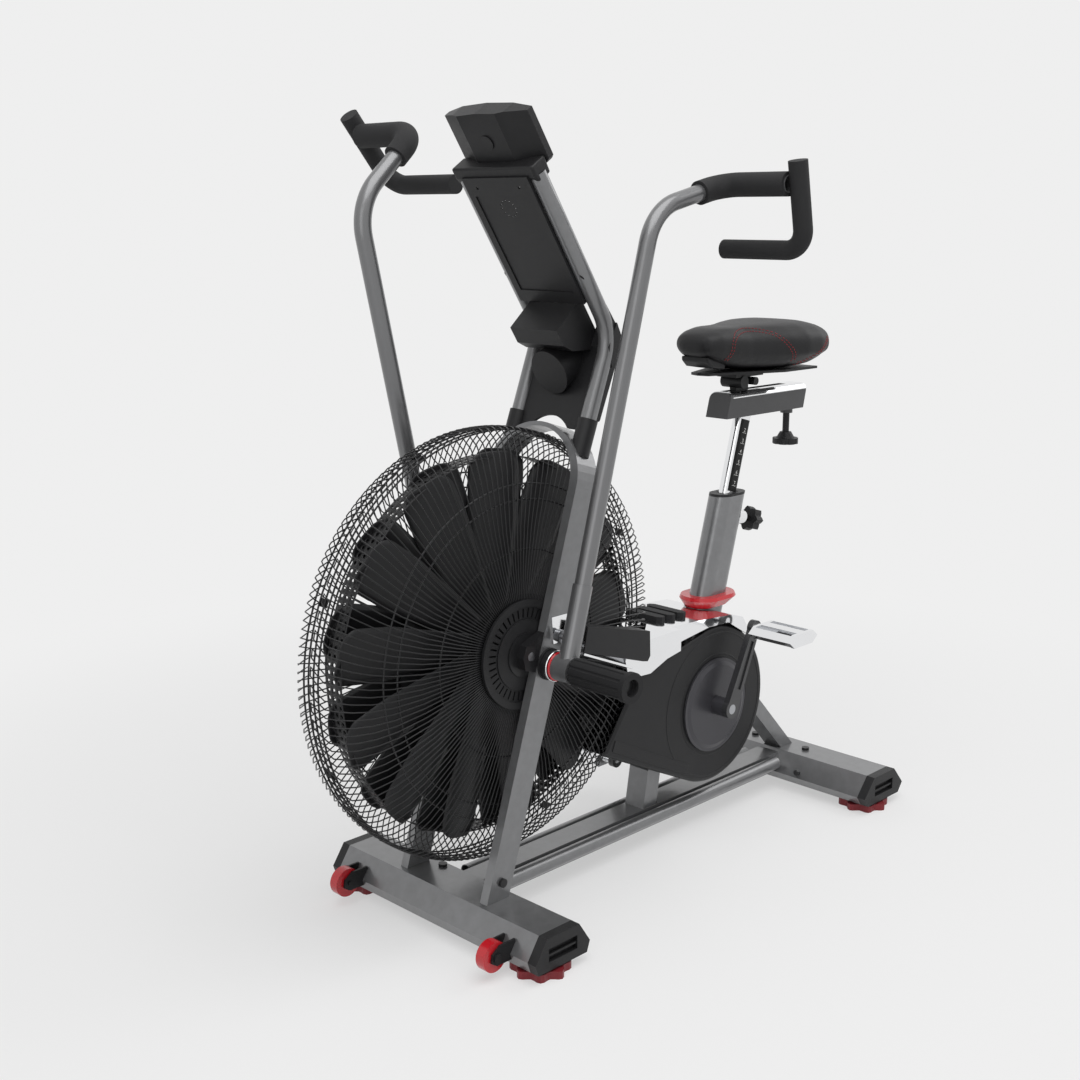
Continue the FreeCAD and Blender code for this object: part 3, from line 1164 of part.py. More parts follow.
def link_covers():
    """Boxed covers beside the cage over the upper ends of the link rods, on their plates."""
    outline = [(204, 494), (194, 539), (29, 497), (27, 450), (34, 441), (48, 444)]
    inner = [(230, 505), (230, 544), (196, 535.5), (10, 488), (10, 420), (120, 440), (160, 470)]
    box = slab(outline, 117.2, 150).cut(slab(inner, 117, 147.5))
    left_and_right("link_covers", feature("link_cover", box))
    plate = [(250, 560), (246, 512), (204, 512), (196, 500), (66, 474), (66, 484), (190, 534), (214, 560)]
    left_and_right("cover_plates", feature("cover_plate", slab(plate, 114.1, 117.1)))


def cage_spacers():
    """Round spacers between the cage's hub plates and the fan brackets."""
    low = s.cage_hub_y - s.wire_size + 0.1
    high = s.upright_inner_y - 0.1
    spacer = Part.makeCylinder(38, high - low, cage_point(0, low), Y_AXIS)
    spacer = spacer.cut(Part.makeCylinder(12, 40, cage_point(0, low - 5), Y_AXIS))
    return pair("cage_spacers", feature("cage_spacer", spacer))


def cage_fittings():
    """Clips that hold the two halves of the cage together round its rim."""
    clips = []
    inner = s.cage_radius - 2 * s.wire_size
    for i in range(8):
        clip = block((inner - 3.1, inner - 0.1), (-9.2, 9.2), (-7, 7))
        clip.rotate(Vector(0, 0, 0), Y_AXIS, -(22.0 + 45.0 * i))
        clip.translate(Vector(s.fan_x, 0, s.fan_z))
        clips.append(clip)
    keep("cage_fittings", feature("cage_fittings", Part.makeCompound(clips)))


def transport_wheels():
    """Small rollers between ears on the front beam."""
    beam = slab(beam_section(s.front_beam_x, s.beam_waist_half, -0.1), -260, 260)
    x = s.wheel_x
    z = s.wheel_z
    outline = [(x - 42, z + 20), (x - 8, z + 20), (x + 10, z + 8), (x + 12, z - 6), (x, z - 14), (x - 40, z - 14)]
    ears = []
    for y in (s.wheel_y - s.wheel_width / 2 - 5, s.wheel_y + s.wheel_width / 2 + 1):
        ears.append(slab(outline, y, y + 4).cut(beam))
    start = s.wheel_y - s.wheel_width / 2 - 8
    bolt = Part.makeCylinder(4, s.wheel_width + 16, Vector(x, start, z), Y_AXIS)
    head = Part.makeCylinder(8, 3, Vector(x, start + s.wheel_width + 13, z), Y_AXIS)
    left_and_right("wheel_brackets", feature("wheel_bracket", ears[0].fuse([ears[1], bolt, head])))
    for node, side in (("wheel_left", 1), ("wheel_right", -1)):
        wheel = Part.makeCylinder(s.wheel_radius, s.wheel_width, Vector(x, s.wheel_y - s.wheel_width / 2, z), Y_AXIS)
        wheel = wheel.cut(Part.makeCylinder(4 + s.running_gap, 60, Vector(x, s.wheel_y - 30, z), Y_AXIS))
        keep(node, feature(node, wheel if side > 0 else mirror_shape(wheel)))


def fasteners():
    """Bolt heads on the beams, the uprights' feet and the crank axle ends."""
    heads = []
    for x, y in ((s.rear_beam_x, 68), (s.front_beam_x - 26, 60)):
        for side in (-1, 1):
            heads.append(Part.makeCylinder(8, 5, Vector(x, side * y, s.beam_top_z + 0.1)))
    for side in (-1, 1):
        face = side * (s.upright_inner_y + s.upright_thick + 0.1)
        rise = (s.beam_top_z + 32 - s.pivot_z) / math.cos(math.radians(s.upright_lean))
        spot = frame_lean().multVec(Vector(0, face, rise))
        heads.append(Part.makeCylinder(8, 5, spot, Y_AXIS * side))
    return feature("frame_bolts", Part.makeCompound(heads))


def main():
    floor_beam("front_beam", s.front_beam_x, s.beam_waist_half)
    floor_beam("rear_beam", s.rear_beam_x, s.rear_waist_half)
    beam_end_caps()
    for name, x in (("front", s.front_beam_x), ("rear", s.rear_beam_x)):
        levelling_foot("foot_%s_left" % name, x + s.foot_shift, s.foot_spacing)
        levelling_foot("foot_%s_right" % name, x + s.foot_shift, -s.foot_spacing)
    rails()
    uprights()
    pivot_parts()
    foot_pegs()
    guards()
    hub_caps()
    fan()
    crankset()
    drive_belt()
    pedal("pedal_left", 1)
    pedal("pedal_right", -1)
    arms()
    link_rods()
    casings()
    top_cover()
    rubber_pads()
    seat_parts()
    seat_knob_parts()
    seat_post_parts()
    saddle_parts()
    sleeves = mast()
    mast_panel()
    mast_tray(sleeves)
    console()
    link_covers()
    cage_fittings()
    transport_wheels()


main()
doc.recompute()
os.makedirs("parts", exist_ok=True)
for node, item in NODES.items():
    if "Invalid" in item.State or "Error" in item.State or item.Shape.isNull() or not item.Shape.isValid():
        print("BAD", node, item.State)
    item.Shape.exportStep("parts/%s.step" % node)
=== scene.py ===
"""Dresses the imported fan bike: cage wires, fan rotor, saddle, trims, finishes, studio and camera."""

import json
import math

import bmesh
import bpy
from bpy.props import FloatProperty, FloatVectorProperty, IntProperty, PointerProperty
from mathutils import Matrix, Vector
from mathutils.bvhtree import BVHTree


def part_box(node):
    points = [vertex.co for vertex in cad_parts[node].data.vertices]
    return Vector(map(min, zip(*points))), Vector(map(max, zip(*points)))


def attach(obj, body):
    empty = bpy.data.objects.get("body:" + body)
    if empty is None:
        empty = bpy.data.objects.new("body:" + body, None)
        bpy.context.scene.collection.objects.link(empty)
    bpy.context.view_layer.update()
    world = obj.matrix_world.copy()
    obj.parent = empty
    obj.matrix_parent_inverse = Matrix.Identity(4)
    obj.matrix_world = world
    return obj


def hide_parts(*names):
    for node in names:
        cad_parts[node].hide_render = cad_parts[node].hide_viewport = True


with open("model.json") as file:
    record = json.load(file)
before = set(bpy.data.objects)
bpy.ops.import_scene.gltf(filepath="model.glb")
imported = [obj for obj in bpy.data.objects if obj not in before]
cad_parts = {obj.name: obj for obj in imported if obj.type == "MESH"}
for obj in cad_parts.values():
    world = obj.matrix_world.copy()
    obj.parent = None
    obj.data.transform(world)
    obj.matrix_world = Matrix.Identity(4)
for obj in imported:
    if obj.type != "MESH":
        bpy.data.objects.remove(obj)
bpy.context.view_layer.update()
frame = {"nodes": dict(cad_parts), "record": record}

bl_info = {
    "name": "Fan bike dressing",
    "version": (1, 0, 0),
    "blender": (4, 5, 0),
    "location": "3D View > Sidebar > Fan Bike",
    "description": "Builds the wires, rotor, saddle, trims, finishes and studio of a jointed fan bike",
    "category": "Object",
}

BASE = "base"


# ------------------------------------------------------------------ places read from the frame

def node_box(node):
    """Low and high corners of a CAD node as vectors."""
    low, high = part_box(node)
    return Vector(low), Vector(high)


def node_radius(node):
    """Half the length of a round CAD node."""
    low, high = node_box(node)
    return (high.x - low.x) / 2


def joint_place(name):
    """Position of a joint of the frame."""
    for joint in frame["record"]["behaviour"]["joints"]:
        if joint["name"] == name:
            return Vector(joint["pos_m"])
    raise ValueError("no joint named " + name)


FAN = joint_place("fan_spin")
CRANK = joint_place("crank_spin")
PIVOT = joint_place("lever_left_swing")
CAGE_RADIUS = node_radius("guard_left")
BLADE_TIP = node_radius("fan_rotor")
SEAT_LEAN = math.radians(15.6)
CONSOLE_TILT = math.radians(33.8)


def leaning_frame(origin, lean):
    """A frame whose Z axis leans towards -X by an angle."""
    return Matrix.Translation(origin) @ Matrix.Rotation(-lean, 4, "Y")


SEAT_FRAME = leaning_frame(Vector((-0.271, 0.0, CRANK.z)), SEAT_LEAN)
CONSOLE_FRAME = leaning_frame(Vector((0.254, 0.0, 1.305)), -CONSOLE_TILT)


# ------------------------------------------------------------------ properties

class CageProperties(bpy.types.PropertyGroup):
    """Sizes of the fan cage's wires."""
    wire_count: IntProperty(name="Wires", description="Wires on each side of the cage", default=164, min=16)
    wire_radius: FloatProperty(name="Wire radius", description="Half the thickness of a cage wire",
                               default=0.00115, unit="LENGTH")
    swirl: FloatProperty(name="Swirl", description="Turn of a wire from hub to rim",
                         default=math.radians(6.0), subtype="ANGLE")


class RotorProperties(bpy.types.PropertyGroup):
    """Shape of the fan's paddles."""
    blades: IntProperty(name="Blades", description="Paddles on each side of the rotor", default=13, min=3)
    blade_width: FloatProperty(name="Blade width", description="Width of a paddle near its tip",
                               default=0.101, unit="LENGTH")
    pitch: FloatProperty(name="Pitch", description="Lean of a paddle out of the rotor's plane",
                         default=math.radians(13.0), subtype="ANGLE")
    cup: FloatProperty(name="Cup", description="Depth of a paddle's hollow", default=0.006, unit="LENGTH")


class SaddleProperties(bpy.types.PropertyGroup):
    """Shape of the padded saddle."""
    puff: FloatProperty(name="Puff", description="Pressure that swells the padding", default=3.0, min=0.0)
    stitch_radius: FloatProperty(name="Thread radius", description="Half the thickness of the sewing thread",
                                 default=0.0007, unit="LENGTH")
    row_gap: FloatProperty(name="Row gap", description="Distance between the two rows of stitches",
                           default=0.0058, unit="LENGTH")


class FinishProperties(bpy.types.PropertyGroup):
    """Colours a user may change."""
    paint: FloatVectorProperty(name="Frame paint", description="Colour of the painted steel",
                               default=(0.165, 0.166, 0.17), subtype="COLOR", size=3)
    plastic: FloatVectorProperty(name="Black plastic", description="Colour of the moulded covers",
                                 default=(0.011, 0.011, 0.012), subtype="COLOR", size=3)
    red: FloatVectorProperty(name="Red plastic", description="Colour of rollers and collar",
                             default=(0.52, 0.012, 0.02), subtype="COLOR", size=3)


class StageProperties(bpy.types.PropertyGroup):
    """Studio levels."""
    floor_tone: FloatProperty(name="Floor tone", description="Brightness of floor and backdrop",
                              default=0.862, min=0.0, max=1.0)
    key_power: FloatProperty(name="Key light", description="Power that the lamps take shares of",
                             default=26.0, unit="POWER")


# ------------------------------------------------------------------ node helpers

def group_with(name, inputs, outputs):
    """A new shader node group with float or colour sockets."""
    tree = bpy.data.node_groups.new(name, "ShaderNodeTree")
    for label, kind, value in inputs:
        socket = tree.interface.new_socket(label, in_out="INPUT", socket_type=kind)
        socket.default_value = value
    for label, kind in outputs:
        tree.interface.new_socket(label, in_out="OUTPUT", socket_type=kind)
    return tree, tree.nodes.new("NodeGroupInput"), tree.nodes.new("NodeGroupOutput")


def math_node(tree, operation, first, second=None, clamp=False):
    """A math node whose inputs are sockets or numbers; gives its output socket."""
    node = tree.nodes.new("ShaderNodeMath")
    node.operation = operation
    node.use_clamp = clamp
    for socket, value in zip(node.inputs, (first, second)):
        if value is None:
            continue
        if isinstance(value, bpy.types.NodeSocket):
            tree.links.new(value, socket)
        else:
            socket.default_value = value
    return node.outputs[0]


def noise_node(tree, scale, detail=3.0, stretch=(1, 1, 1)):
    """Noise over object coordinates; gives its value socket and takes scale as socket or number."""
    coordinate = tree.nodes.new("ShaderNodeTexCoord")
    mapping = tree.nodes.new("ShaderNodeMapping")
    mapping.inputs["Scale"].default_value = stretch
    texture = tree.nodes.new("ShaderNodeTexNoise")
    texture.inputs["Detail"].default_value = detail
    tree.links.new(coordinate.outputs["Object"], mapping.inputs["Vector"])
    tree.links.new(mapping.outputs["Vector"], texture.inputs["Vector"])
    if isinstance(scale, bpy.types.NodeSocket):
        tree.links.new(scale, texture.inputs["Scale"])
    else:
        texture.inputs["Scale"].default_value = scale
    return texture.outputs["Fac"]


def make_grain_group():
    """Fine moulded or cast grain: a height and a slow mottle."""
    tree, source, sink = group_with(
        "Surface grain", [("Scale", "NodeSocketFloat", 900.0), ("Mottle scale", "NodeSocketFloat", 14.0)],
        [("Height", "NodeSocketFloat"), ("Mottle", "NodeSocketFloat")])
    tree.links.new(noise_node(tree, source.outputs["Scale"]), sink.inputs["Height"])
    tree.links.new(noise_node(tree, source.outputs["Mottle scale"], 5.0), sink.inputs["Mottle"])
    return tree


def make_wear_group():
    """A mask that is bright on sharp outer edges, broken up by noise."""
    tree, source, sink = group_with(
        "Edge wear", [("Reach", "NodeSocketFloat", 0.5)], [("Mask", "NodeSocketFloat")])
    geometry = tree.nodes.new("ShaderNodeNewGeometry")
    edge = math_node(tree, "SUBTRACT", geometry.outputs["Pointiness"], 0.52)
    sharp = math_node(tree, "MULTIPLY", edge, 14.0, clamp=True)
    broken = math_node(tree, "MULTIPLY", sharp, noise_node(tree, 60.0))
    mask = math_node(tree, "MULTIPLY", broken, source.outputs["Reach"], clamp=True)
    tree.links.new(mask, sink.inputs["Mask"])
    return tree


def make_dust_group():
    """A faint dust mask on faces that look up."""
    tree, source, sink = group_with(
        "Settled dust", [("Amount", "NodeSocketFloat", 0.2)], [("Mask", "NodeSocketFloat")])
    geometry = tree.nodes.new("ShaderNodeNewGeometry")
    split = tree.nodes.new("ShaderNodeSeparateXYZ")
    tree.links.new(geometry.outputs["Normal"], split.inputs[0])
    upward = math_node(tree, "POWER", math_node(tree, "MAXIMUM", split.outputs["Z"], 0.0), 3.0)
    patchy = math_node(tree, "MULTIPLY", upward, noise_node(tree, 22.0, 6.0))
    mask = math_node(tree, "MULTIPLY", patchy, source.outputs["Amount"], clamp=True)
    tree.links.new(mask, sink.inputs["Mask"])
    return tree


GROUPS = {}


def add_group(tree, name, **values):
    """Places a shared effect in a material with its own values."""
    node = tree.nodes.new("ShaderNodeGroup")
    node.node_tree = GROUPS[name]
    for label, value in values.items():
        node.inputs[label.replace("_", " ")].default_value = value
    return node


def mix_colour(tree, mask, first, second):
    """A colour mix; colours are sockets or tuples."""
    node = tree.nodes.new("ShaderNodeMix")
    node.data_type = "RGBA"
    tree.links.new(mask, node.inputs["Factor"])
    for socket, value in ((node.inputs[6], first), (node.inputs[7], second)):
        if isinstance(value, bpy.types.NodeSocket):
            tree.links.new(value, socket)
        else:
            socket.default_value = (*value, 1.0)
    return node.outputs[2]


def remap(tree, value, low, high):
    """Maps 0..1 to a range."""
    node = tree.nodes.new("ShaderNodeMapRange")
    tree.links.new(value, node.inputs["Value"])
    node.inputs["To Min"].default_value = low
    node.inputs["To Max"].default_value = high
    return node.outputs["Result"]


def start_material(name):
    """A material with its Principled shader, in place of a plain one that came with the frame."""
    plain = bpy.data.materials.get(name)
    if plain:
        bpy.data.materials.remove(plain)
    material = bpy.data.materials.new(name)
    material.use_nodes = True
    return material, material.node_tree, material.node_tree.nodes["Principled BSDF"]


def finish_surface(tree, shader, colour, rough, grain_scale=900.0, grain_depth=0.02, mottle=0.12, wear=0.0,
                   wear_colour=(0.5, 0.5, 0.5), dust=0.0, bump=0.0003):
    """Wires colour mottle, worn edges, dust, roughness variation and grain into a shader."""
    grain = add_group(tree, "Surface grain", Scale=grain_scale)
    darker = tuple(channel * (1 - mottle) for channel in colour)
    lighter = tuple(min(1.0, channel * (1 + mottle)) for channel in colour)
    tone = mix_colour(tree, grain.outputs["Mottle"], darker, lighter)
    if wear:
        mask = add_group(tree, "Edge wear", Reach=wear).outputs["Mask"]
        tone = mix_colour(tree, mask, tone, wear_colour)
    if dust:
        mask = add_group(tree, "Settled dust", Amount=dust).outputs["Mask"]
        tone = mix_colour(tree, mask, tone, (0.42, 0.41, 0.4))
    tree.links.new(tone, shader.inputs["Base Color"])
    tree.links.new(remap(tree, grain.outputs["Mottle"], rough[0], rough[1]), shader.inputs["Roughness"])
    bump_node = tree.nodes.new("ShaderNodeBump")
    bump_node.inputs["Strength"].default_value = min(1.0, grain_depth * 20)
    bump_node.inputs["Distance"].default_value = bump
    tree.links.new(grain.outputs["Height"], bump_node.inputs["Height"])
    tree.links.new(bump_node.outputs["Normal"], shader.inputs["Normal"])


# ------------------------------------------------------------------ finishes

# For each finish: its colour or colour setting, lowest and highest roughness, grain scale, grain depth
# and mottle; then further values of finish_surface; then plain inputs of the shader.
FINISHES = {
    "frame_paint": (("paint", (0.26, 0.36), 2600.0, 0.012, 0.07),
                    {"wear": 0.25, "wear_colour": (0.4, 0.41, 0.42), "dust": 0.05, "bump": 0.0001},
                    {"Metallic": 0.55, "Coat Weight": 0.5, "Coat Roughness": 0.12}),
    "dark_paint": (((0.026, 0.026, 0.028), (0.3, 0.4), 2000.0, 0.012, 0.08),
                   {"wear": 0.1, "wear_colour": (0.15, 0.15, 0.16), "bump": 0.0001},
                   {"Coat Weight": 0.2}),
    "black_plastic": (("plastic", (0.38, 0.5), 1500.0, 0.03, 0.15),
                      {"wear": 0.12, "wear_colour": (0.06, 0.06, 0.06), "dust": 0.02},
                      {"Specular IOR Level": 0.28}),
    "chrome_trim": (((0.85, 0.855, 0.865), (0.05, 0.12), 600.0, 0.004, 0.03),
                    {"bump": 0.00005}, {"Metallic": 1.0}),
    "zinc_steel": (((0.42, 0.43, 0.45), (0.25, 0.4), 1800.0, 0.02, 0.1),
                   {"bump": 0.0001}, {"Metallic": 1.0}),
    "cage_wire": (((0.012, 0.012, 0.013), (0.24, 0.36), 1400.0, 0.01, 0.12),
                  {"bump": 0.0001}, {"Specular IOR Level": 0.35}),
    "fan_paint": (((0.016, 0.016, 0.017), (0.3, 0.42), 1600.0, 0.015, 0.12),
                  {"wear": 0.1, "wear_colour": (0.08, 0.08, 0.085), "dust": 0.03, "bump": 0.0001},
                  {"Specular IOR Level": 0.3}),
    "grip_foam": (((0.019, 0.019, 0.02), (0.7, 0.82), 700.0, 0.05, 0.2),
                  {"dust": 0.02, "bump": 0.0008}, {"Specular IOR Level": 0.3}),
    "red_plastic": (("red", (0.18, 0.3), 900.0, 0.01, 0.08),
                    {"bump": 0.0001}, {"Coat Weight": 0.3}),
    "dark_red_rubber": (((0.19, 0.008, 0.014), (0.4, 0.55), 900.0, 0.03, 0.15),
                        {"dust": 0.02}, {}),
    "crank_grey": (((0.05, 0.049, 0.056), (0.28, 0.38), 1800.0, 0.015, 0.08),
                   {"wear": 0.1, "wear_colour": (0.2, 0.2, 0.21), "bump": 0.0001}, {"Metallic": 0.3}),
    "rubber_black": (((0.012, 0.012, 0.013), (0.6, 0.75), 1000.0, 0.03, 0.2),
                     {"dust": 0.02}, {"Specular IOR Level": 0.3}),
    "saddle_cover": (((0.009, 0.009, 0.01), (0.4, 0.52), 420.0, 0.04, 0.2),
                     {"dust": 0.01, "bump": 0.0006}, {"Specular IOR Level": 0.32}),
    "display_glass": (((0.02, 0.024, 0.024), (0.05, 0.1), 500.0, 0.002, 0.05), {"bump": 0.00002}, {}),
    "red_thread": (((0.3, 0.012, 0.016), (0.6, 0.75), 2500.0, 0.05, 0.2), {}, {}),
    # Black ink of the post's scale; the same near-black finish is the painted shade of the console's screw
    # wells.
    "scale_ink": (((0.004, 0.004, 0.004), (0.35, 0.5), 2000.0, 0.02, 0.1), {}, {"Specular IOR Level": 0.2}),
    "scale_mark": (((0.7, 0.7, 0.68), (0.4, 0.5), 2000.0, 0.02, 0.05), {}, {}),
}


def make_finish(name, settings):
    """Builds one finish of the table; a colour given by name comes from the settings."""
    (colour, *surface), extra, inputs = FINISHES[name]
    if isinstance(colour, str):
        colour = tuple(getattr(settings, colour))
    _, tree, shader = start_material(name)
    finish_surface(tree, shader, colour, *surface, **extra)
    for label, value in inputs.items():
        shader.inputs[label].default_value = value


# ------------------------------------------------------------------ mesh helpers

def add_mesh(name, vertices, faces, slot, body, smooth=True):
    """A mesh object that rides on a body and wears a named finish."""
    mesh = bpy.data.meshes.new(name)
    mesh.from_pydata([tuple(v) for v in vertices], [], faces)
    mesh.update()
    for polygon in mesh.polygons:
        polygon.use_smooth = smooth
    return place(name, mesh, slot, body)


def place(name, mesh, slot, body):
    """Links a mesh into the scene, dresses it and hangs it on its body."""
    piece = bpy.data.objects.new(name, mesh)
    bpy.context.scene.collection.objects.link(piece)
    mesh.materials.clear()
    mesh.materials.append(bpy.data.materials[slot])
    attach(piece, body)
    return piece


def wire_mesh(name, paths, radius, slot, body, closed=False):
    """Round wires along lists of points, joined in one mesh."""
    curve = bpy.data.curves.new(name + "_lines", "CURVE")
    curve.dimensions = "3D"
    curve.bevel_depth = radius
    curve.bevel_resolution = 1
    curve.use_fill_caps = not closed
    for path in paths:
        spline = curve.splines.new("POLY")
        spline.points.add(len(path) - 1)
        for point, spot in zip(spline.points, path):
            point.co = (*spot, 1.0)
        spline.use_cyclic_u = closed
        spline.use_smooth = True
    line = bpy.data.objects.new(name + "_lines", curve)
    bpy.context.scene.collection.objects.link(line)
    mesh = bpy.data.meshes.new_from_object(line.evaluated_get(bpy.context.evaluated_depsgraph_get()))
    bpy.data.objects.remove(line)
    bpy.data.curves.remove(curve)
    mesh.name = name
    for polygon in mesh.polygons:
        polygon.use_smooth = True
    return place(name, mesh, slot, body)


def prism(outline, low, high, matrix=Matrix()):
    """A flat XZ outline drawn out along Y; gives vertices and faces."""
    count = len(outline)
    vertices = [matrix @ Vector((x, y, z)) for y in (low, high) for x, z in outline]
    faces = [tuple(range(count)), tuple(reversed(range(count, 2 * count)))]
    for i in range(count):
        j = (i + 1) % count
        faces.append((i, j, count + j, count + i))
    return vertices, faces


def arc_points(centre, radius, start, end, steps=8):
    """Points of an arc in a plane, by degrees."""
    points = []
    for i in range(steps + 1):
        angle = math.radians(start + (end - start) * i / steps)
        points.append((centre[0] + radius * math.cos(angle), centre[1] + radius * math.sin(angle)))
    return points


def smooth_path(points, steps=8):
    """A rounded line through points of any dimension."""
    spots = [Vector(point) for point in points]
    spots = [2 * spots[0] - spots[1]] + spots + [2 * spots[-1] - spots[-2]]
    line = []
    for a, b, c, d in zip(spots, spots[1:], spots[2:], spots[3:]):
        for k in range(steps):
            t = k / steps
            line.append(0.5 * (2 * b + (c - a) * t + (2 * a - 5 * b + 4 * c - d) * t ** 2
                               + (3 * b - a - 3 * c + d) * t ** 3))
    line.append(spots[-2])
    return line


def spaced(line, step):
    """Points at equal distances along a line."""
    result = [line[0]]
    left = step
    for near, far in zip(line, line[1:]):
        length = (far - near).length
        while length > 0 and left <= length:
            near = near + (far - near) * (left / length)
            result.append(near)
            length = (far - near).length
            left = step
        left -= length
    return result


def spin_mesh(outline, centre, axis=(0, 1, 0), steps=32):
    """A turned piece: an outline of (radius, height) pairs spun about an axis."""
    turn = Vector((0, 0, 1)).rotation_difference(Vector(axis)).to_matrix()
    vertices = []
    for i in range(steps):
        angle = 2 * math.pi * i / steps
        for radius, height in outline:
            spot = Vector((radius * math.cos(angle), radius * math.sin(angle), height))
            vertices.append(Vector(centre) + turn @ spot)
    count = len(outline)
    faces = []
    for i in range(steps):
        j = (i + 1) % steps
        for k in range(count - 1):
            faces.append((i * count + k, j * count + k, j * count + k + 1, i * count + k + 1))
    return vertices, faces


def join_parts(name, parts, slot, body, smooth=True):
    """One mesh from several (vertices, faces) parts."""
    vertices = []
    faces = []
    for part_vertices, part_faces in parts:
        offset = len(vertices)
        vertices += part_vertices
        faces += [tuple(index + offset for index in face) for face in part_faces]
    piece = add_mesh(name, vertices, faces, slot, body, smooth)
    work = bmesh.new()
    work.from_mesh(piece.data)
    bmesh.ops.remove_doubles(work, verts=work.verts, dist=0.00001)
    bmesh.ops.recalc_face_normals(work, faces=work.faces)
    work.to_mesh(piece.data)
    work.free()
    return piece


def soften(piece, width, segments=2):
    """Rounds the edges where a piece's faces turn sharply."""
    bevel = piece.modifiers.new("edge_round", "BEVEL")
    bevel.width = width
    bevel.segments = segments
    bevel.limit_method = "ANGLE"
    bevel.angle_limit = math.radians(32.0)


def thicken(piece, thickness):
    """Gives a sheet its thickness."""
    solid = piece.modifiers.new("thickness", "SOLIDIFY")
    solid.thickness = thickness
    solid.offset = 0.0


def ring_outline(inner, outer, low, high):
    """Closed section of a flat ring as (radius, height) pairs."""
    return [(inner, low), (outer, low), (outer, high), (inner, high), (inner, low)]


def both_sides(outline, low, high):
    """A plate drawn out along Y on the left and again on the right."""
    return [prism(outline, low, high), prism(outline, -high, -low)]


def world_tree(piece):
    """A search tree of a piece's faces in world places."""
    matrix = piece.matrix_world
    vertices = [matrix @ vertex.co for vertex in piece.data.vertices]
    return BVHTree.FromPolygons(vertices, [tuple(polygon.vertices) for polygon in piece.data.polygons])


# ------------------------------------------------------------------ cage

# Radius and height over the middle plane, from the hub to the rim.
CAGE_PROFILE = ((0.094, 0.0872), (0.15, 0.0855), (0.22, 0.0825), (0.28, 0.0785), (0.318, 0.0725),
                (0.348, 0.0625), (0.369, 0.049), (0.3795, 0.034), (0.3823, 0.018), (0.3825, 0.0022))
CAGE_RINGS = ((0.294, 0.0745), (0.267, 0.0765), (0.182, 0.0815), (0.3795, 0.0065), (0.3795, 0.0185))
RING_RADIUS = 0.0016
RIM_HEIGHT = 0.034
RIM_TURN = math.radians(3.0)
SWIRL_GROWTH = 2.2
BELT_GAP = math.radians(14.0)


def cage_spot(radius, height, turn):
    """A point of the cage from radius, height over its middle plane and angle."""
    return Vector((FAN.x + radius * math.cos(turn), height, FAN.z + radius * math.sin(turn)))


def cage_wire_path(turn, side, swirl):
    """The way of one wire from the hub over the rim to the cage's middle plane."""
    hub = CAGE_PROFILE[0][0]
    path = []
    for radius, height in CAGE_PROFILE:
        share = (radius - hub) / (CAGE_RADIUS - hub)
        along_rim = max(0.0, RIM_HEIGHT - height) / RIM_HEIGHT
        angle = turn + swirl * share ** SWIRL_GROWTH + RIM_TURN * along_rim
        path.append(cage_spot(radius, side * height, angle))
    return path


def hub_plate(side):
    """The flat ring that holds the inner ends of the wires."""
    outline = ring_outline(0.03, 0.106, 0.0835 * side, 0.0858 * side)
    part = spin_mesh(outline, (FAN.x, 0, FAN.z), steps=64)
    name = "hub_plate_left" if side > 0 else "hub_plate_right"
    return join_parts(name, [part], "cage_wire", BASE, smooth=False)


class BIKE_OT_cage(bpy.types.Operator):
    """Build the dense wire guards, their rings and hub plates"""
    bl_idname = "bike.cage"
    bl_label = "Cage wires"

    def execute(self, context):
        cage = context.scene.bike_cage
        belt = math.atan2(CRANK.z - FAN.z, CRANK.x - FAN.x)
        for node, side in (("guard_left", 1), ("guard_right", -1)):
            paths = []
            for i in range(0, cage.wire_count, 2):
                turns = [2 * math.pi * (i + k) / cage.wire_count for k in (0, 1)]
                away = (turns[0] + cage.swirl - belt + math.pi) % (2 * math.pi) - math.pi
                if side < 0 and abs(away) < BELT_GAP:
                    continue
                first, second = (cage_wire_path(turn, side, cage.swirl) for turn in turns)
                paths.append(first + second[::-1])
            piece = wire_mesh(node + "_wires", paths, cage.wire_radius, "cage_wire", BASE)
            rings = [[cage_spot(radius, side * height, math.radians(3 * k)) for k in range(120)]
                     for radius, height in CAGE_RINGS]
            ring_piece = wire_mesh(node + "_rings", rings, RING_RADIUS, "cage_wire", BASE, closed=True)
            plate = hub_plate(side)
            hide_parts(node)
            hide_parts(node)
            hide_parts(node)
        return {"FINISHED"}


# ------------------------------------------------------------------ fan rotor

BLADE_ROOT = 0.06
BLADE_CORNER = 0.028
BLADE_MIDDLE = 0.0125
BLADE_SHEET = 0.0016
BAND_INSET = 0.009
BAND_WIDTH = 0.039
BAND_SHEET = 0.0014
HOLE_SHARE = 0.26
# Radius and height of the disc and its hub, as a closed section.
DISC = ((0.013, -0.03), (0.04, -0.03), (0.04, -0.0015), (0.198, -0.0015), (0.198, 0.0015), (0.04, 0.0015),
        (0.04, 0.03), (0.013, 0.03), (0.013, -0.03))


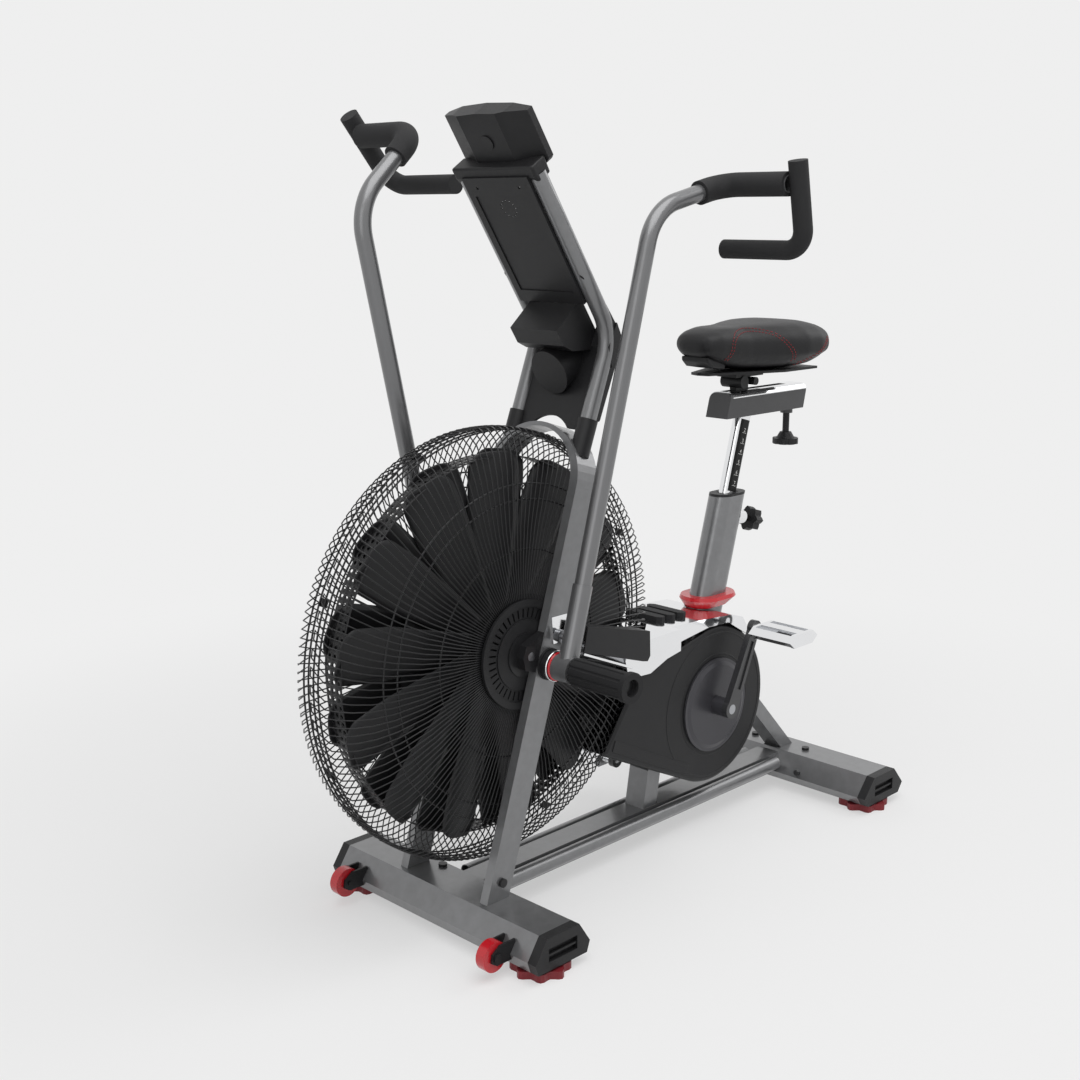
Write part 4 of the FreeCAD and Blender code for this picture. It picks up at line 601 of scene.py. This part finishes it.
def rotor_blade(turn, side, settings):
    """One cupped paddle with rounded tip corners, on one side of the rotor's middle plane."""
    lean = settings.pitch
    half_tip = settings.blade_width / 2
    rows = 22
    columns = 8
    vertices = []
    for i in range(rows + 1):
        share = 1 - (1 - i / rows) ** 1.5
        radius = BLADE_ROOT + (BLADE_TIP - BLADE_ROOT) * share
        half = half_tip * (0.52 + 0.48 * min(1.0, share * 1.5))
        past = max(0.0, radius - (BLADE_TIP - BLADE_CORNER))
        half += math.sqrt(max(BLADE_CORNER ** 2 - past ** 2, 0.0)) - BLADE_CORNER
        for k in range(columns + 1):
            across = (2 * k / columns - 1) * half
            cup = settings.cup * (1 - (across / half_tip) ** 2)
            sweep = across * math.cos(lean) - cup * math.sin(lean)
            rise = across * math.sin(lean) + cup * math.cos(lean)
            out = math.sqrt(radius ** 2 - sweep ** 2)
            angle = turn + math.atan2(sweep * side, out)
            vertices.append(cage_spot(radius, side * (BLADE_MIDDLE + rise), angle))
    faces = []
    for i in range(rows):
        for k in range(columns):
            a = i * (columns + 1) + k
            faces.append((a, a + 1, a + columns + 2, a + columns + 1))
    return vertices, faces


def pierced_band(radius, width, around, rows):
    """A thin hoop with rows of round holes, cell by cell."""
    vertices = []
    faces = []
    step = 2 * math.pi / around
    tall = width / rows
    hole = tall * HOLE_SHARE
    for i in range(around):
        for j in range(rows):
            first = len(vertices)
            for k in range(8):
                angle = math.pi * k / 4
                c, u = math.cos(angle), math.sin(angle)
                edge = 1 / max(abs(c), abs(u))
                turn = (i + 0.5 + 0.5 * c * edge) * step
                vertices.append(cage_spot(radius, -width / 2 + (j + 0.5 + 0.5 * u * edge) * tall, turn))
                turn = (i + 0.5) * step + c * hole / radius
                vertices.append(cage_spot(radius, -width / 2 + (j + 0.5) * tall + u * hole, turn))
            for k in range(8):
                a = first + 2 * k
                b = first + 2 * ((k + 1) % 8)
                faces.append((a, b, b + 1, a + 1))
    return vertices, faces


class BIKE_OT_rotor(bpy.types.Operator):
    """Build the fan's two sets of paddles, pierced band and hub disc"""
    bl_idname = "bike.rotor"
    bl_label = "Fan rotor"

    def execute(self, context):
        settings = context.scene.bike_rotor
        step = 2 * math.pi / settings.blades
        for side, word, start in ((1, "left", 0.3), (-1, "right", 0.54)):
            blades = [rotor_blade((i + start) * step, side, settings) for i in range(settings.blades)]
            piece = join_parts("fan_blades_" + word, blades, "fan_paint", "fan")
            thicken(piece, BLADE_SHEET)
            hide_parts("fan_rotor")
        hoop = pierced_band(BLADE_TIP - BAND_INSET, BAND_WIDTH, around=150, rows=3)
        band = join_parts("fan_band", [hoop], "fan_paint", "fan")
        thicken(band, BAND_SHEET)
        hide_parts("fan_rotor")
        turned = spin_mesh(DISC, (FAN.x, 0, FAN.z), steps=72)
        disc = join_parts("fan_disc", [turned], "fan_paint", "fan", smooth=False)
        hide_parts("fan_rotor")
        return {"FINISHED"}


# ------------------------------------------------------------------ saddle

CUSHION_CAP = 0.003
SKIN_CELL = 0.005
CLOTH_FRAMES = 15
# Share of the length from the nose, share of the half width, lift of the floor and drop of the crown.
SADDLE_SHAPE = ((0.0, 0.22, 0.044, 0.030), (0.03, 0.36, 0.034, 0.016), (0.09, 0.44, 0.026, 0.009),
                (0.2, 0.52, 0.014, 0.006), (0.32, 0.6, 0.006, 0.006), (0.44, 0.72, 0.002, 0.004),
                (0.56, 0.87, 0.001, 0.002), (0.68, 0.97, 0.001, 0.0), (0.8, 0.99, 0.002, 0.0),
                (0.9, 0.92, 0.008, 0.003), (0.965, 0.78, 0.02, 0.009), (1.0, 0.58, 0.036, 0.02))


def saddle_sections():
    """Place, half width, floor and crown of the saddle's sections, inside its CAD box."""
    low, high = node_box("saddle")
    length = high.x - low.x
    return [(high.x - share * length, wide * high.y, low.z + lift, high.z - drop)
            for share, wide, lift, drop in SADDLE_SHAPE]


def saddle_ring(x, half, low, high, around=32):
    """One cross section: a rounded, slightly crowned pad with tucked lower sides."""
    ring = []
    middle = (low + high) / 2
    tall = (high - low) / 2
    for k in range(around):
        angle = 2 * math.pi * k / around
        c = math.cos(angle)
        u = math.sin(angle)
        side = math.copysign(abs(c) ** 0.62, c)
        up = math.copysign(abs(u) ** 0.7, u)
        tuck = 0.9 if u < -0.2 else 1.0
        ring.append(Vector((x, side * half * tuck, middle + up * tall)))
    return ring


def saddle_mesh():
    """The saddle as a closed lofted form."""
    rings = [saddle_ring(*section) for section in saddle_sections()]
    around = len(rings[0])
    vertices = [spot for ring in rings for spot in ring]
    faces = []
    for i in range(len(rings) - 1):
        for k in range(around):
            j = (k + 1) % around
            faces.append((i * around + k, i * around + j, (i + 1) * around + j, (i + 1) * around + k))
    faces.append(tuple(range(around)))
    last = (len(rings) - 1) * around
    faces.append(tuple(last + k for k in reversed(range(around))))
    return vertices, faces


def puff_up(piece, pressure, cap):
    """Swells a closed pad with a short cloth run and keeps each point near its start."""
    remesh = piece.modifiers.new("even_skin", "REMESH")
    remesh.mode = "VOXEL"
    remesh.voxel_size = SKIN_CELL
    bpy.context.view_layer.objects.active = piece
    bpy.ops.object.modifier_apply(modifier=remesh.name)
    start = [vertex.co.copy() for vertex in piece.data.vertices]
    cloth = piece.modifiers.new("swell", "CLOTH")
    cloth.settings.use_pressure = True
    cloth.settings.uniform_pressure_force = pressure
    cloth.settings.effector_weights.gravity = 0.0
    for step in range(1, CLOTH_FRAMES + 1):
        bpy.context.scene.frame_set(step)
    solved = piece.evaluated_get(bpy.context.evaluated_depsgraph_get()).data
    ends = [vertex.co.copy() for vertex in solved.vertices]
    piece.modifiers.remove(cloth)
    bpy.context.scene.frame_set(1)
    for vertex, before, after in zip(piece.data.vertices, start, ends):
        move = after - before
        if move.length > cap:
            move = move.normalized() * cap
        vertex.co = before + move
    smooth = piece.modifiers.new("settle", "SMOOTH")
    smooth.iterations = 6
    bpy.ops.object.modifier_apply(modifier=smooth.name)
    finer = piece.modifiers.new("finer", "SUBSURF")
    finer.levels = 1
    finer.render_levels = 1
    bpy.ops.object.modifier_apply(modifier=finer.name)


def fit_to_box(piece, low, high):
    """Stretches a mesh, whose own places are world places, to fill a box."""
    spots = [vertex.co for vertex in piece.data.vertices]
    for axis in range(3):
        near = min(spot[axis] for spot in spots)
        far = max(spot[axis] for spot in spots)
        stretch = (high[axis] - low[axis]) / (far - near)
        for spot in spots:
            spot[axis] = low[axis] + (spot[axis] - near) * stretch


STITCH_STEP = 0.0015
THREAD_LIFT = 0.0002
# Shares of the saddle's length from the nose and of its height.
FLANK_SEAM = ((0.15, 0.25), (0.16, 0.45), (0.175, 0.68), (0.23, 0.82), (0.34, 0.87), (0.45, 0.8),
              (0.5, 0.66), (0.55, 0.45), (0.59, 0.25), (0.61, 0.12))
TAIL_SEAM = ((0.65, 0.12), (0.69, 0.15), (0.74, 0.26), (0.8, 0.44), (0.89, 0.7))


def flank_spot(tree, share, side, rise):
    """A spot of the pad's flank by its shares of length and height, met from the side."""
    low, high = node_box("saddle")
    start = Vector((high.x - share * (high.x - low.x), side * 2 * high.y, low.z + rise * (high.z - low.z)))
    spot, normal, _, _ = tree.ray_cast(start, Vector((0, -side, 0)))
    if spot is None:
        return None
    return spot + normal * THREAD_LIFT


def stitch_paths(tree, seam, side, offset):
    """Stitches of three points each along a seam, one row beside its middle line."""
    low, high = node_box("saddle")
    length = high.x - low.x
    tall = high.z - low.z
    flat = [Vector((share * length, rise * tall)) for share, rise in seam]
    line = spaced(smooth_path(flat), STITCH_STEP)
    paths = []
    for i in range(2, len(line) - 5, 4):
        path = []
        for k in range(i, i + 4):
            along = (line[k + 1] - line[k - 1]).normalized()
            point = line[k] + Vector((-along.y, along.x)) * offset
            spot = flank_spot(tree, point.x / length, side, point.y / tall)
            if spot is not None:
                path.append(spot)
        if len(path) == 4:
            paths.append(path[:3])
    return paths


def seam_stitches(pad, settings):
    """Double rows of red thread along both flanks."""
    tree = world_tree(pad)
    paths = []
    for side in (1, -1):
        for seam in (FLANK_SEAM, TAIL_SEAM):
            for offset in (-settings.row_gap / 2, settings.row_gap / 2):
                paths += stitch_paths(tree, seam, side, offset)
    if not paths:
        raise RuntimeError("no stitch met the pad")
    return wire_mesh("saddle_stitches", paths, settings.stitch_radius, "red_thread", "seat")


def nose_guard():
    """The moulded lip under the saddle's nose."""
    low, high = node_box("saddle")
    front = high.x - 0.004
    floor = low.z
    outline = [(front - 0.066, floor + 0.012), (front - 0.06, floor + 0.006), (front - 0.022, floor + 0.012),
               (front - 0.008, floor + 0.024), (front - 0.008, floor + 0.034), (front - 0.06, floor + 0.02)]
    piece = join_parts("saddle_nose", [prism(outline, -0.034, 0.034)], "black_plastic", "seat", smooth=False)
    soften(piece, 0.004, 3)
    return piece


class BIKE_OT_saddle(bpy.types.Operator):
    """Model the padded saddle, its red stitching and the lip under its nose"""
    bl_idname = "bike.saddle"
    bl_label = "Saddle"

    def execute(self, context):
        settings = context.scene.bike_saddle
        vertices, faces = saddle_mesh()
        pad = add_mesh("saddle_pad", vertices, faces, "saddle_cover", "seat")
        puff_up(pad, settings.puff, CUSHION_CAP)
        fit_to_box(pad, *node_box("saddle"))
        for polygon in pad.data.polygons:
            polygon.use_smooth = True
        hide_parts("saddle")
        seam_stitches(pad, settings)
        nose_guard()
        return {"FINISHED"}


# ------------------------------------------------------------------ seat post, pivots and beams

def post_scale():
    """The black strip on the post's side, with a tick and a figure at each height."""
    post_half = node_box("seat_post")[1].y
    round_centre = 0.007
    low = 0.4245
    high = 0.574
    first = 0.012
    pitch = 0.022
    skin = post_half + 0.00005
    face = post_half + 0.00014
    upright = SEAT_FRAME @ Matrix.Rotation(math.radians(90), 4, "X")
    outer = arc_points((round_centre, 0), face, 305, 270, 4) + arc_points((-round_centre, 0), face, 270, 200)
    inner = arc_points((-round_centre, 0), skin, 200, 270) + arc_points((round_centre, 0), skin, 270, 305, 4)
    strip = prism(outer + inner, low, high, upright)
    join_parts("post_scale_strip", [strip], "scale_ink", "post", smooth=False)
    ticks = []
    figure_turn = Matrix(((-1, 0, 0), (0, 0, 1), (0, 1, 0))).to_4x4()
    for k in range(6):
        height = low + first + pitch * k
        tick = [(-0.007, -face - 0.00004), (0.006, -face - 0.00004), (0.006, -face), (-0.007, -face)]
        ticks.append(prism(tick, height, height + 0.0007, upright))
        spot = SEAT_FRAME @ Matrix.Translation((-0.001, post_half + 0.00015, height + 0.0025)) @ figure_turn
        write_figure("post_figure_%d" % (k + 1), str(7 - k), 0.011, spot, "post")
    join_parts("post_ticks", ticks, "scale_mark", "post", smooth=False)


def write_figure(name, words, size, matrix, body):
    """A flat printed figure."""
    curve = bpy.data.curves.new(name + "_type", "FONT")
    curve.body = words
    curve.size = size
    curve.align_x = "CENTER"
    curve.extrude = 0.00003
    curve.resolution_u = 3
    writing = bpy.data.objects.new(name + "_type", curve)
    bpy.context.scene.collection.objects.link(writing)
    mesh = bpy.data.meshes.new_from_object(writing.evaluated_get(bpy.context.evaluated_depsgraph_get()))
    bpy.data.objects.remove(writing)
    bpy.data.curves.remove(curve)
    mesh.transform(matrix)
    mesh.name = name
    return place(name, mesh, "scale_mark", body)


def beam_bolts():
    """Bolt heads on the rear beam's face."""
    face = node_box("rear_beam")[1].x
    outline = [(0.0, -0.002), (0.0075, -0.002), (0.0075, 0.004), (0.0055, 0.0055), (0.0, 0.0055)]
    parts = [spin_mesh(outline, (face, y, 0.051), (1, 0, 0), 6) for y in (0.098, -0.098)]
    join_parts("beam_bolts", parts, "cage_wire", BASE, smooth=False)


def casing_ridges():
    """Raised rings and a lower rib on the drive casing, both sides."""
    face = node_box("casing_left")[1].y
    parts = []
    for side in (1, -1):
        for radius in (0.104, 0.148):
            section = [(radius + out, side * (face - 0.0003 + lift))
                       for out, lift in ((-0.002, 0.0), (-0.001, 0.0011), (0.001, 0.0011), (0.002, 0.0))]
            parts.append(spin_mesh(section, (CRANK.x, 0, CRANK.z), steps=96))
    join_parts("casing_rings", parts, "black_plastic", BASE)
    rib = [(0.05, 0.252), (-0.06, 0.197), (-0.17, 0.144), (-0.18, 0.164), (-0.065, 0.219), (0.042, 0.272)]
    ribs = both_sides(rib, face - 0.0005, face + 0.0014)
    piece = join_parts("casing_rib", ribs, "black_plastic", BASE, smooth=False)
    soften(piece, 0.0008)


def cover_strips():
    """Bright strips under the link covers."""
    strip = [(0.202, 0.493), (0.074, 0.4395), (0.0755, 0.4355), (0.204, 0.489)]
    piece = join_parts("cover_strips", both_sides(strip, 0.1365, 0.1495), "chrome_trim", BASE, smooth=False)
    soften(piece, 0.001)


def mast_shells():
    """Moulded shells behind the mast's bends."""
    outer = [(0.16, 1.135), (0.12, 1.118), (0.07, 1.052), (0.05, 1.01), (0.068, 0.975), (0.108, 0.88)]
    inner = [(0.128, 0.885), (0.085, 0.985), (0.078, 1.02), (0.085, 1.05), (0.13, 1.105)]
    shells = both_sides(outer + inner, 0.07, 0.096)
    piece = join_parts("mast_shells", shells, "black_plastic", BASE, smooth=False)
    soften(piece, 0.004, 3)


def console_screws():
    """Dark discs on the console's front that paint the shade of its screw wells."""
    tree = world_tree(frame["nodes"]["console_front"])
    forward = CONSOLE_FRAME.to_3x3() @ Vector((1, 0, 0))
    outline = [(0.0, 0.0002), (0.0032, 0.0002), (0.0038, 0.0006), (0.0042, -0.0004)]
    parts = []
    for y, z in ((0.06, 0.082), (-0.06, 0.082), (-0.018, 0.088)):
        spot, normal, _, _ = tree.ray_cast(CONSOLE_FRAME @ Vector((0.2, y, z)), -forward)
        if spot is None:
            raise RuntimeError("a console screw missed the console")
        parts.append(spin_mesh(outline, spot, normal, 20))
    join_parts("console_screws", parts, "scale_ink", BASE)


def console_skirt():
    """The moulded lip between the console and the mast's tubes."""
    outline = [(-0.016, -0.015), (0.014, -0.015), (0.018, -0.004), (0.0185, 0.016), (-0.018, 0.016)]
    lip = prism(outline, -0.0965, 0.0965, CONSOLE_FRAME)
    piece = join_parts("console_skirt", [lip], "black_plastic", BASE, smooth=False)
    soften(piece, 0.004, 3)


def pivot_rings():
    """A bright and a red ring around each lever's pivot."""
    centre = (PIVOT.x, 0, PIVOT.z)
    for side, word in ((1, "left"), (-1, "right")):
        bright = spin_mesh(ring_outline(0.0262, 0.0272, 0.130 * side, 0.1345 * side), centre, steps=64)
        join_parts("pivot_ring_bright_" + word, [bright], "chrome_trim", BASE)
        red = spin_mesh(ring_outline(0.0135, 0.0255, 0.1352 * side, 0.1385 * side), centre, steps=64)
        join_parts("pivot_ring_red_" + word, [red], "red_plastic", BASE)


class BIKE_OT_trims(bpy.types.Operator):
    """Add the post's scale, pivot rings, bolts, casing ridges, strips, shells and console trims"""
    bl_idname = "bike.trims"
    bl_label = "Trims"

    def execute(self, context):
        post_scale()
        pivot_rings()
        beam_bolts()
        casing_ridges()
        cover_strips()
        mast_shells()
        console_screws()
        console_skirt()
        return {"FINISHED"}


# ------------------------------------------------------------------ finishes on the frame's own nodes

# Edge radii, and the nodes that wear another finish than their slot's.
ROUNDED = {
    "front_beam": 0.003, "rear_beam": 0.003, "beam_end_caps": 0.003, "uprights": 0.0025,
    "rails": 0.0025, "crank_arms": 0.0015, "crank_discs": 0.0012, "pedal_left": 0.0015,
    "pedal_right": 0.0015, "slide_tube": 0.002, "saddle_carriage": 0.0015, "console_back": 0.006,
    "console_front": 0.006, "mast_tray": 0.004, "link_covers": 0.006, "casing_left": 0.0015,
    "casing_right": 0.0015, "top_cover": 0.002, "seat_collar": 0.002, "rubber_pads": 0.002,
    "cage_fittings": 0.0015, "slide_knob": 0.002, "seat_knob": 0.002, "foot_pegs": 0.0012,
    "wheel_left": 0.005, "wheel_right": 0.005,
}
FINISH_OF = {"slide_tube": "dark_paint", "crank_arms": "dark_paint"}


class BIKE_OT_finishes(bpy.types.Operator):
    """Make every finish and put it on the frame's own pieces"""
    bl_idname = "bike.finishes"
    bl_label = "Finishes"

    def execute(self, context):
        GROUPS["Surface grain"] = make_grain_group()
        GROUPS["Edge wear"] = make_wear_group()
        GROUPS["Settled dust"] = make_dust_group()
        for name in FINISHES:
            make_finish(name, context.scene.bike_finish)
        slots = {entry["node"]: entry["material_slot"] for entry in frame["record"]["subparts"]}
        for node, piece in frame["nodes"].items():
            piece.data.materials.clear()
            piece.data.materials.append(bpy.data.materials[FINISH_OF.get(node, slots[node])])
            if node in ROUNDED:
                soften(piece, ROUNDED[node])
        return {"FINISHED"}


# ------------------------------------------------------------------ stage

# Name, place, aim, width and height, and share of the key power.
LAMPS = (("key_lamp", (0.6, 1.0, 3.4), (0, 0, 0.4), (3.0, 3.0), 2.6),
         ("fill_lamp", (3.4, 1.6, 1.6), (0, 0, 0.7), (2.0, 2.6), 0.6),
         ("rim_lamp", (-2.6, 1.0, 2.6), (0, 0, 0.8), (2.0, 2.0), 0.8))
AMBIENT = 0.45
FLOOR_HALF = 30.0
GLOW_SPAN = (0.7, 2.2)
GLOW_SHARE = (0.55, 1.0)
CAMERA_PLACE = (1.9777, 1.7999, 1.2381)
CAMERA_AIM = (-0.6931, -0.6867, -0.2192)
CAMERA_LENS = 48.68


def soft_lamp(name, place_at, aim, size, power):
    """A large soft area lamp."""
    data = bpy.data.lights.new(name, "AREA")
    data.shape = "RECTANGLE"
    data.size, data.size_y = size
    data.energy = power
    lamp = bpy.data.objects.new(name, data)
    lamp.location = place_at
    lamp.rotation_euler = (Vector(aim) - Vector(place_at)).to_track_quat("-Z", "Y").to_euler()
    bpy.context.scene.collection.objects.link(lamp)


def pale_rays(tree):
    """1 for camera, glossy and transmission rays."""
    path = tree.nodes.new("ShaderNodeLightPath")
    kinds = ("Camera", "Glossy", "Transmission")
    camera, glossy, through = (path.outputs["Is %s Ray" % kind] for kind in kinds)
    return math_node(tree, "MAXIMUM", math_node(tree, "MAXIMUM", camera, glossy), through)


def make_world(tone):
    """A plain pale surround."""
    world = bpy.data.worlds.new("studio")
    bpy.context.scene.world = world
    world.use_nodes = True
    tree = world.node_tree
    tree.nodes.clear()
    output = tree.nodes.new("ShaderNodeOutputWorld")
    light = tree.nodes.new("ShaderNodeBackground")
    light.inputs["Color"].default_value = (1.0, 1.0, 1.0, 1.0)
    light.inputs["Strength"].default_value = AMBIENT
    shown = tree.nodes.new("ShaderNodeBackground")
    shown.inputs["Color"].default_value = (tone, tone, tone, 1.0)
    mix = tree.nodes.new("ShaderNodeMixShader")
    tree.links.new(pale_rays(tree), mix.inputs[0])
    tree.links.new(light.outputs[0], mix.inputs[1])
    tree.links.new(shown.outputs[0], mix.inputs[2])
    tree.links.new(mix.outputs[0], output.inputs[0])


def make_floor(tone):
    """A wide pale floor that keeps the shadow."""
    half = FLOOR_HALF
    corners = [(-half, -half, 0), (half, -half, 0), (half, half, 0), (-half, half, 0)]
    mesh = bpy.data.meshes.new("floor")
    mesh.from_pydata(corners, [], [(0, 1, 2, 3)])
    floor = bpy.data.objects.new("floor", mesh)
    bpy.context.scene.collection.objects.link(floor)
    material, tree, shader = start_material("floor_pale")
    shader.inputs["Base Color"].default_value = (tone, tone, tone, 1.0)
    shader.inputs["Roughness"].default_value = 0.9
    shader.inputs["Specular IOR Level"].default_value = 0.0
    glow = tree.nodes.new("ShaderNodeEmission")
    glow.inputs["Color"].default_value = (tone, tone, tone, 1.0)
    coordinate = tree.nodes.new("ShaderNodeTexCoord")
    length = tree.nodes.new("ShaderNodeVectorMath")
    length.operation = "LENGTH"
    tree.links.new(coordinate.outputs["Object"], length.inputs[0])
    spread = tree.nodes.new("ShaderNodeMapRange")
    spread.interpolation_type = "SMOOTHSTEP"
    for label, value in zip(("From Min", "From Max", "To Min", "To Max"), GLOW_SPAN + GLOW_SHARE):
        spread.inputs[label].default_value = value
    tree.links.new(length.outputs["Value"], spread.inputs["Value"])
    mix = tree.nodes.new("ShaderNodeMixShader")
    share = math_node(tree, "MULTIPLY", pale_rays(tree), spread.outputs["Result"])
    tree.links.new(share, mix.inputs[0])
    tree.links.new(shader.outputs[0], mix.inputs[1])
    tree.links.new(glow.outputs[0], mix.inputs[2])
    tree.links.new(mix.outputs[0], tree.nodes["Material Output"].inputs[0])
    mesh.materials.append(material)


class BIKE_OT_stage(bpy.types.Operator):
    """Set up floor, surround, lamps and camera"""
    bl_idname = "bike.stage"
    bl_label = "Studio"

    def execute(self, context):
        stage = context.scene.bike_stage
        scene = context.scene
        scene.view_settings.view_transform = "Standard"
        make_world(stage.floor_tone)
        make_floor(stage.floor_tone)
        for name, place_at, aim, size, share in LAMPS:
            soft_lamp(name, place_at, aim, size, stage.key_power * share)
        data = bpy.data.cameras.new("studio_camera")
        data.lens = CAMERA_LENS
        data.sensor_width = 36.0
        data.clip_end = 100.0
        camera = bpy.data.objects.new("studio_camera", data)
        camera.location = CAMERA_PLACE
        camera.rotation_euler = Vector(CAMERA_AIM).to_track_quat("-Z", "Y").to_euler()
        scene.collection.objects.link(camera)
        scene.camera = camera
        return {"FINISHED"}


# ------------------------------------------------------------------ panel and registration

class BIKE_PT_panel(bpy.types.Panel):
    """Lists the build steps and their settings"""
    bl_label = "Fan bike"
    bl_idname = "BIKE_PT_panel"
    bl_space_type = "VIEW_3D"
    bl_region_type = "UI"
    bl_category = "Fan Bike"

    def draw(self, context):
        layout = self.layout
        scene = context.scene
        for label, group in (("Cage", scene.bike_cage), ("Rotor", scene.bike_rotor),
                             ("Saddle", scene.bike_saddle), ("Finish", scene.bike_finish),
                             ("Studio", scene.bike_stage)):
            column = layout.column(align=True)
            column.label(text=label)
            for name in group.__annotations__:
                column.prop(group, name)
        for operator in OPERATORS:
            layout.operator(operator.bl_idname)


OPERATORS = (BIKE_OT_finishes, BIKE_OT_cage, BIKE_OT_rotor, BIKE_OT_saddle, BIKE_OT_trims, BIKE_OT_stage)
CLASSES = (CageProperties, RotorProperties, SaddleProperties, FinishProperties, StageProperties, *OPERATORS,
           BIKE_PT_panel)


def register():
    for entry in CLASSES:
        bpy.utils.register_class(entry)
    bpy.types.Scene.bike_cage = PointerProperty(type=CageProperties)
    bpy.types.Scene.bike_rotor = PointerProperty(type=RotorProperties)
    bpy.types.Scene.bike_saddle = PointerProperty(type=SaddleProperties)
    bpy.types.Scene.bike_finish = PointerProperty(type=FinishProperties)
    bpy.types.Scene.bike_stage = PointerProperty(type=StageProperties)


def unregister():
    for name in ("bike_cage", "bike_rotor", "bike_saddle", "bike_finish", "bike_stage"):
        delattr(bpy.types.Scene, name)
    for entry in reversed(CLASSES):
        bpy.utils.unregister_class(entry)


def main():
    register()
    for operator in OPERATORS:
        group, name = operator.bl_idname.split(".")
        getattr(getattr(bpy.ops, group), name)()


if __name__ == "__main__":
    main()
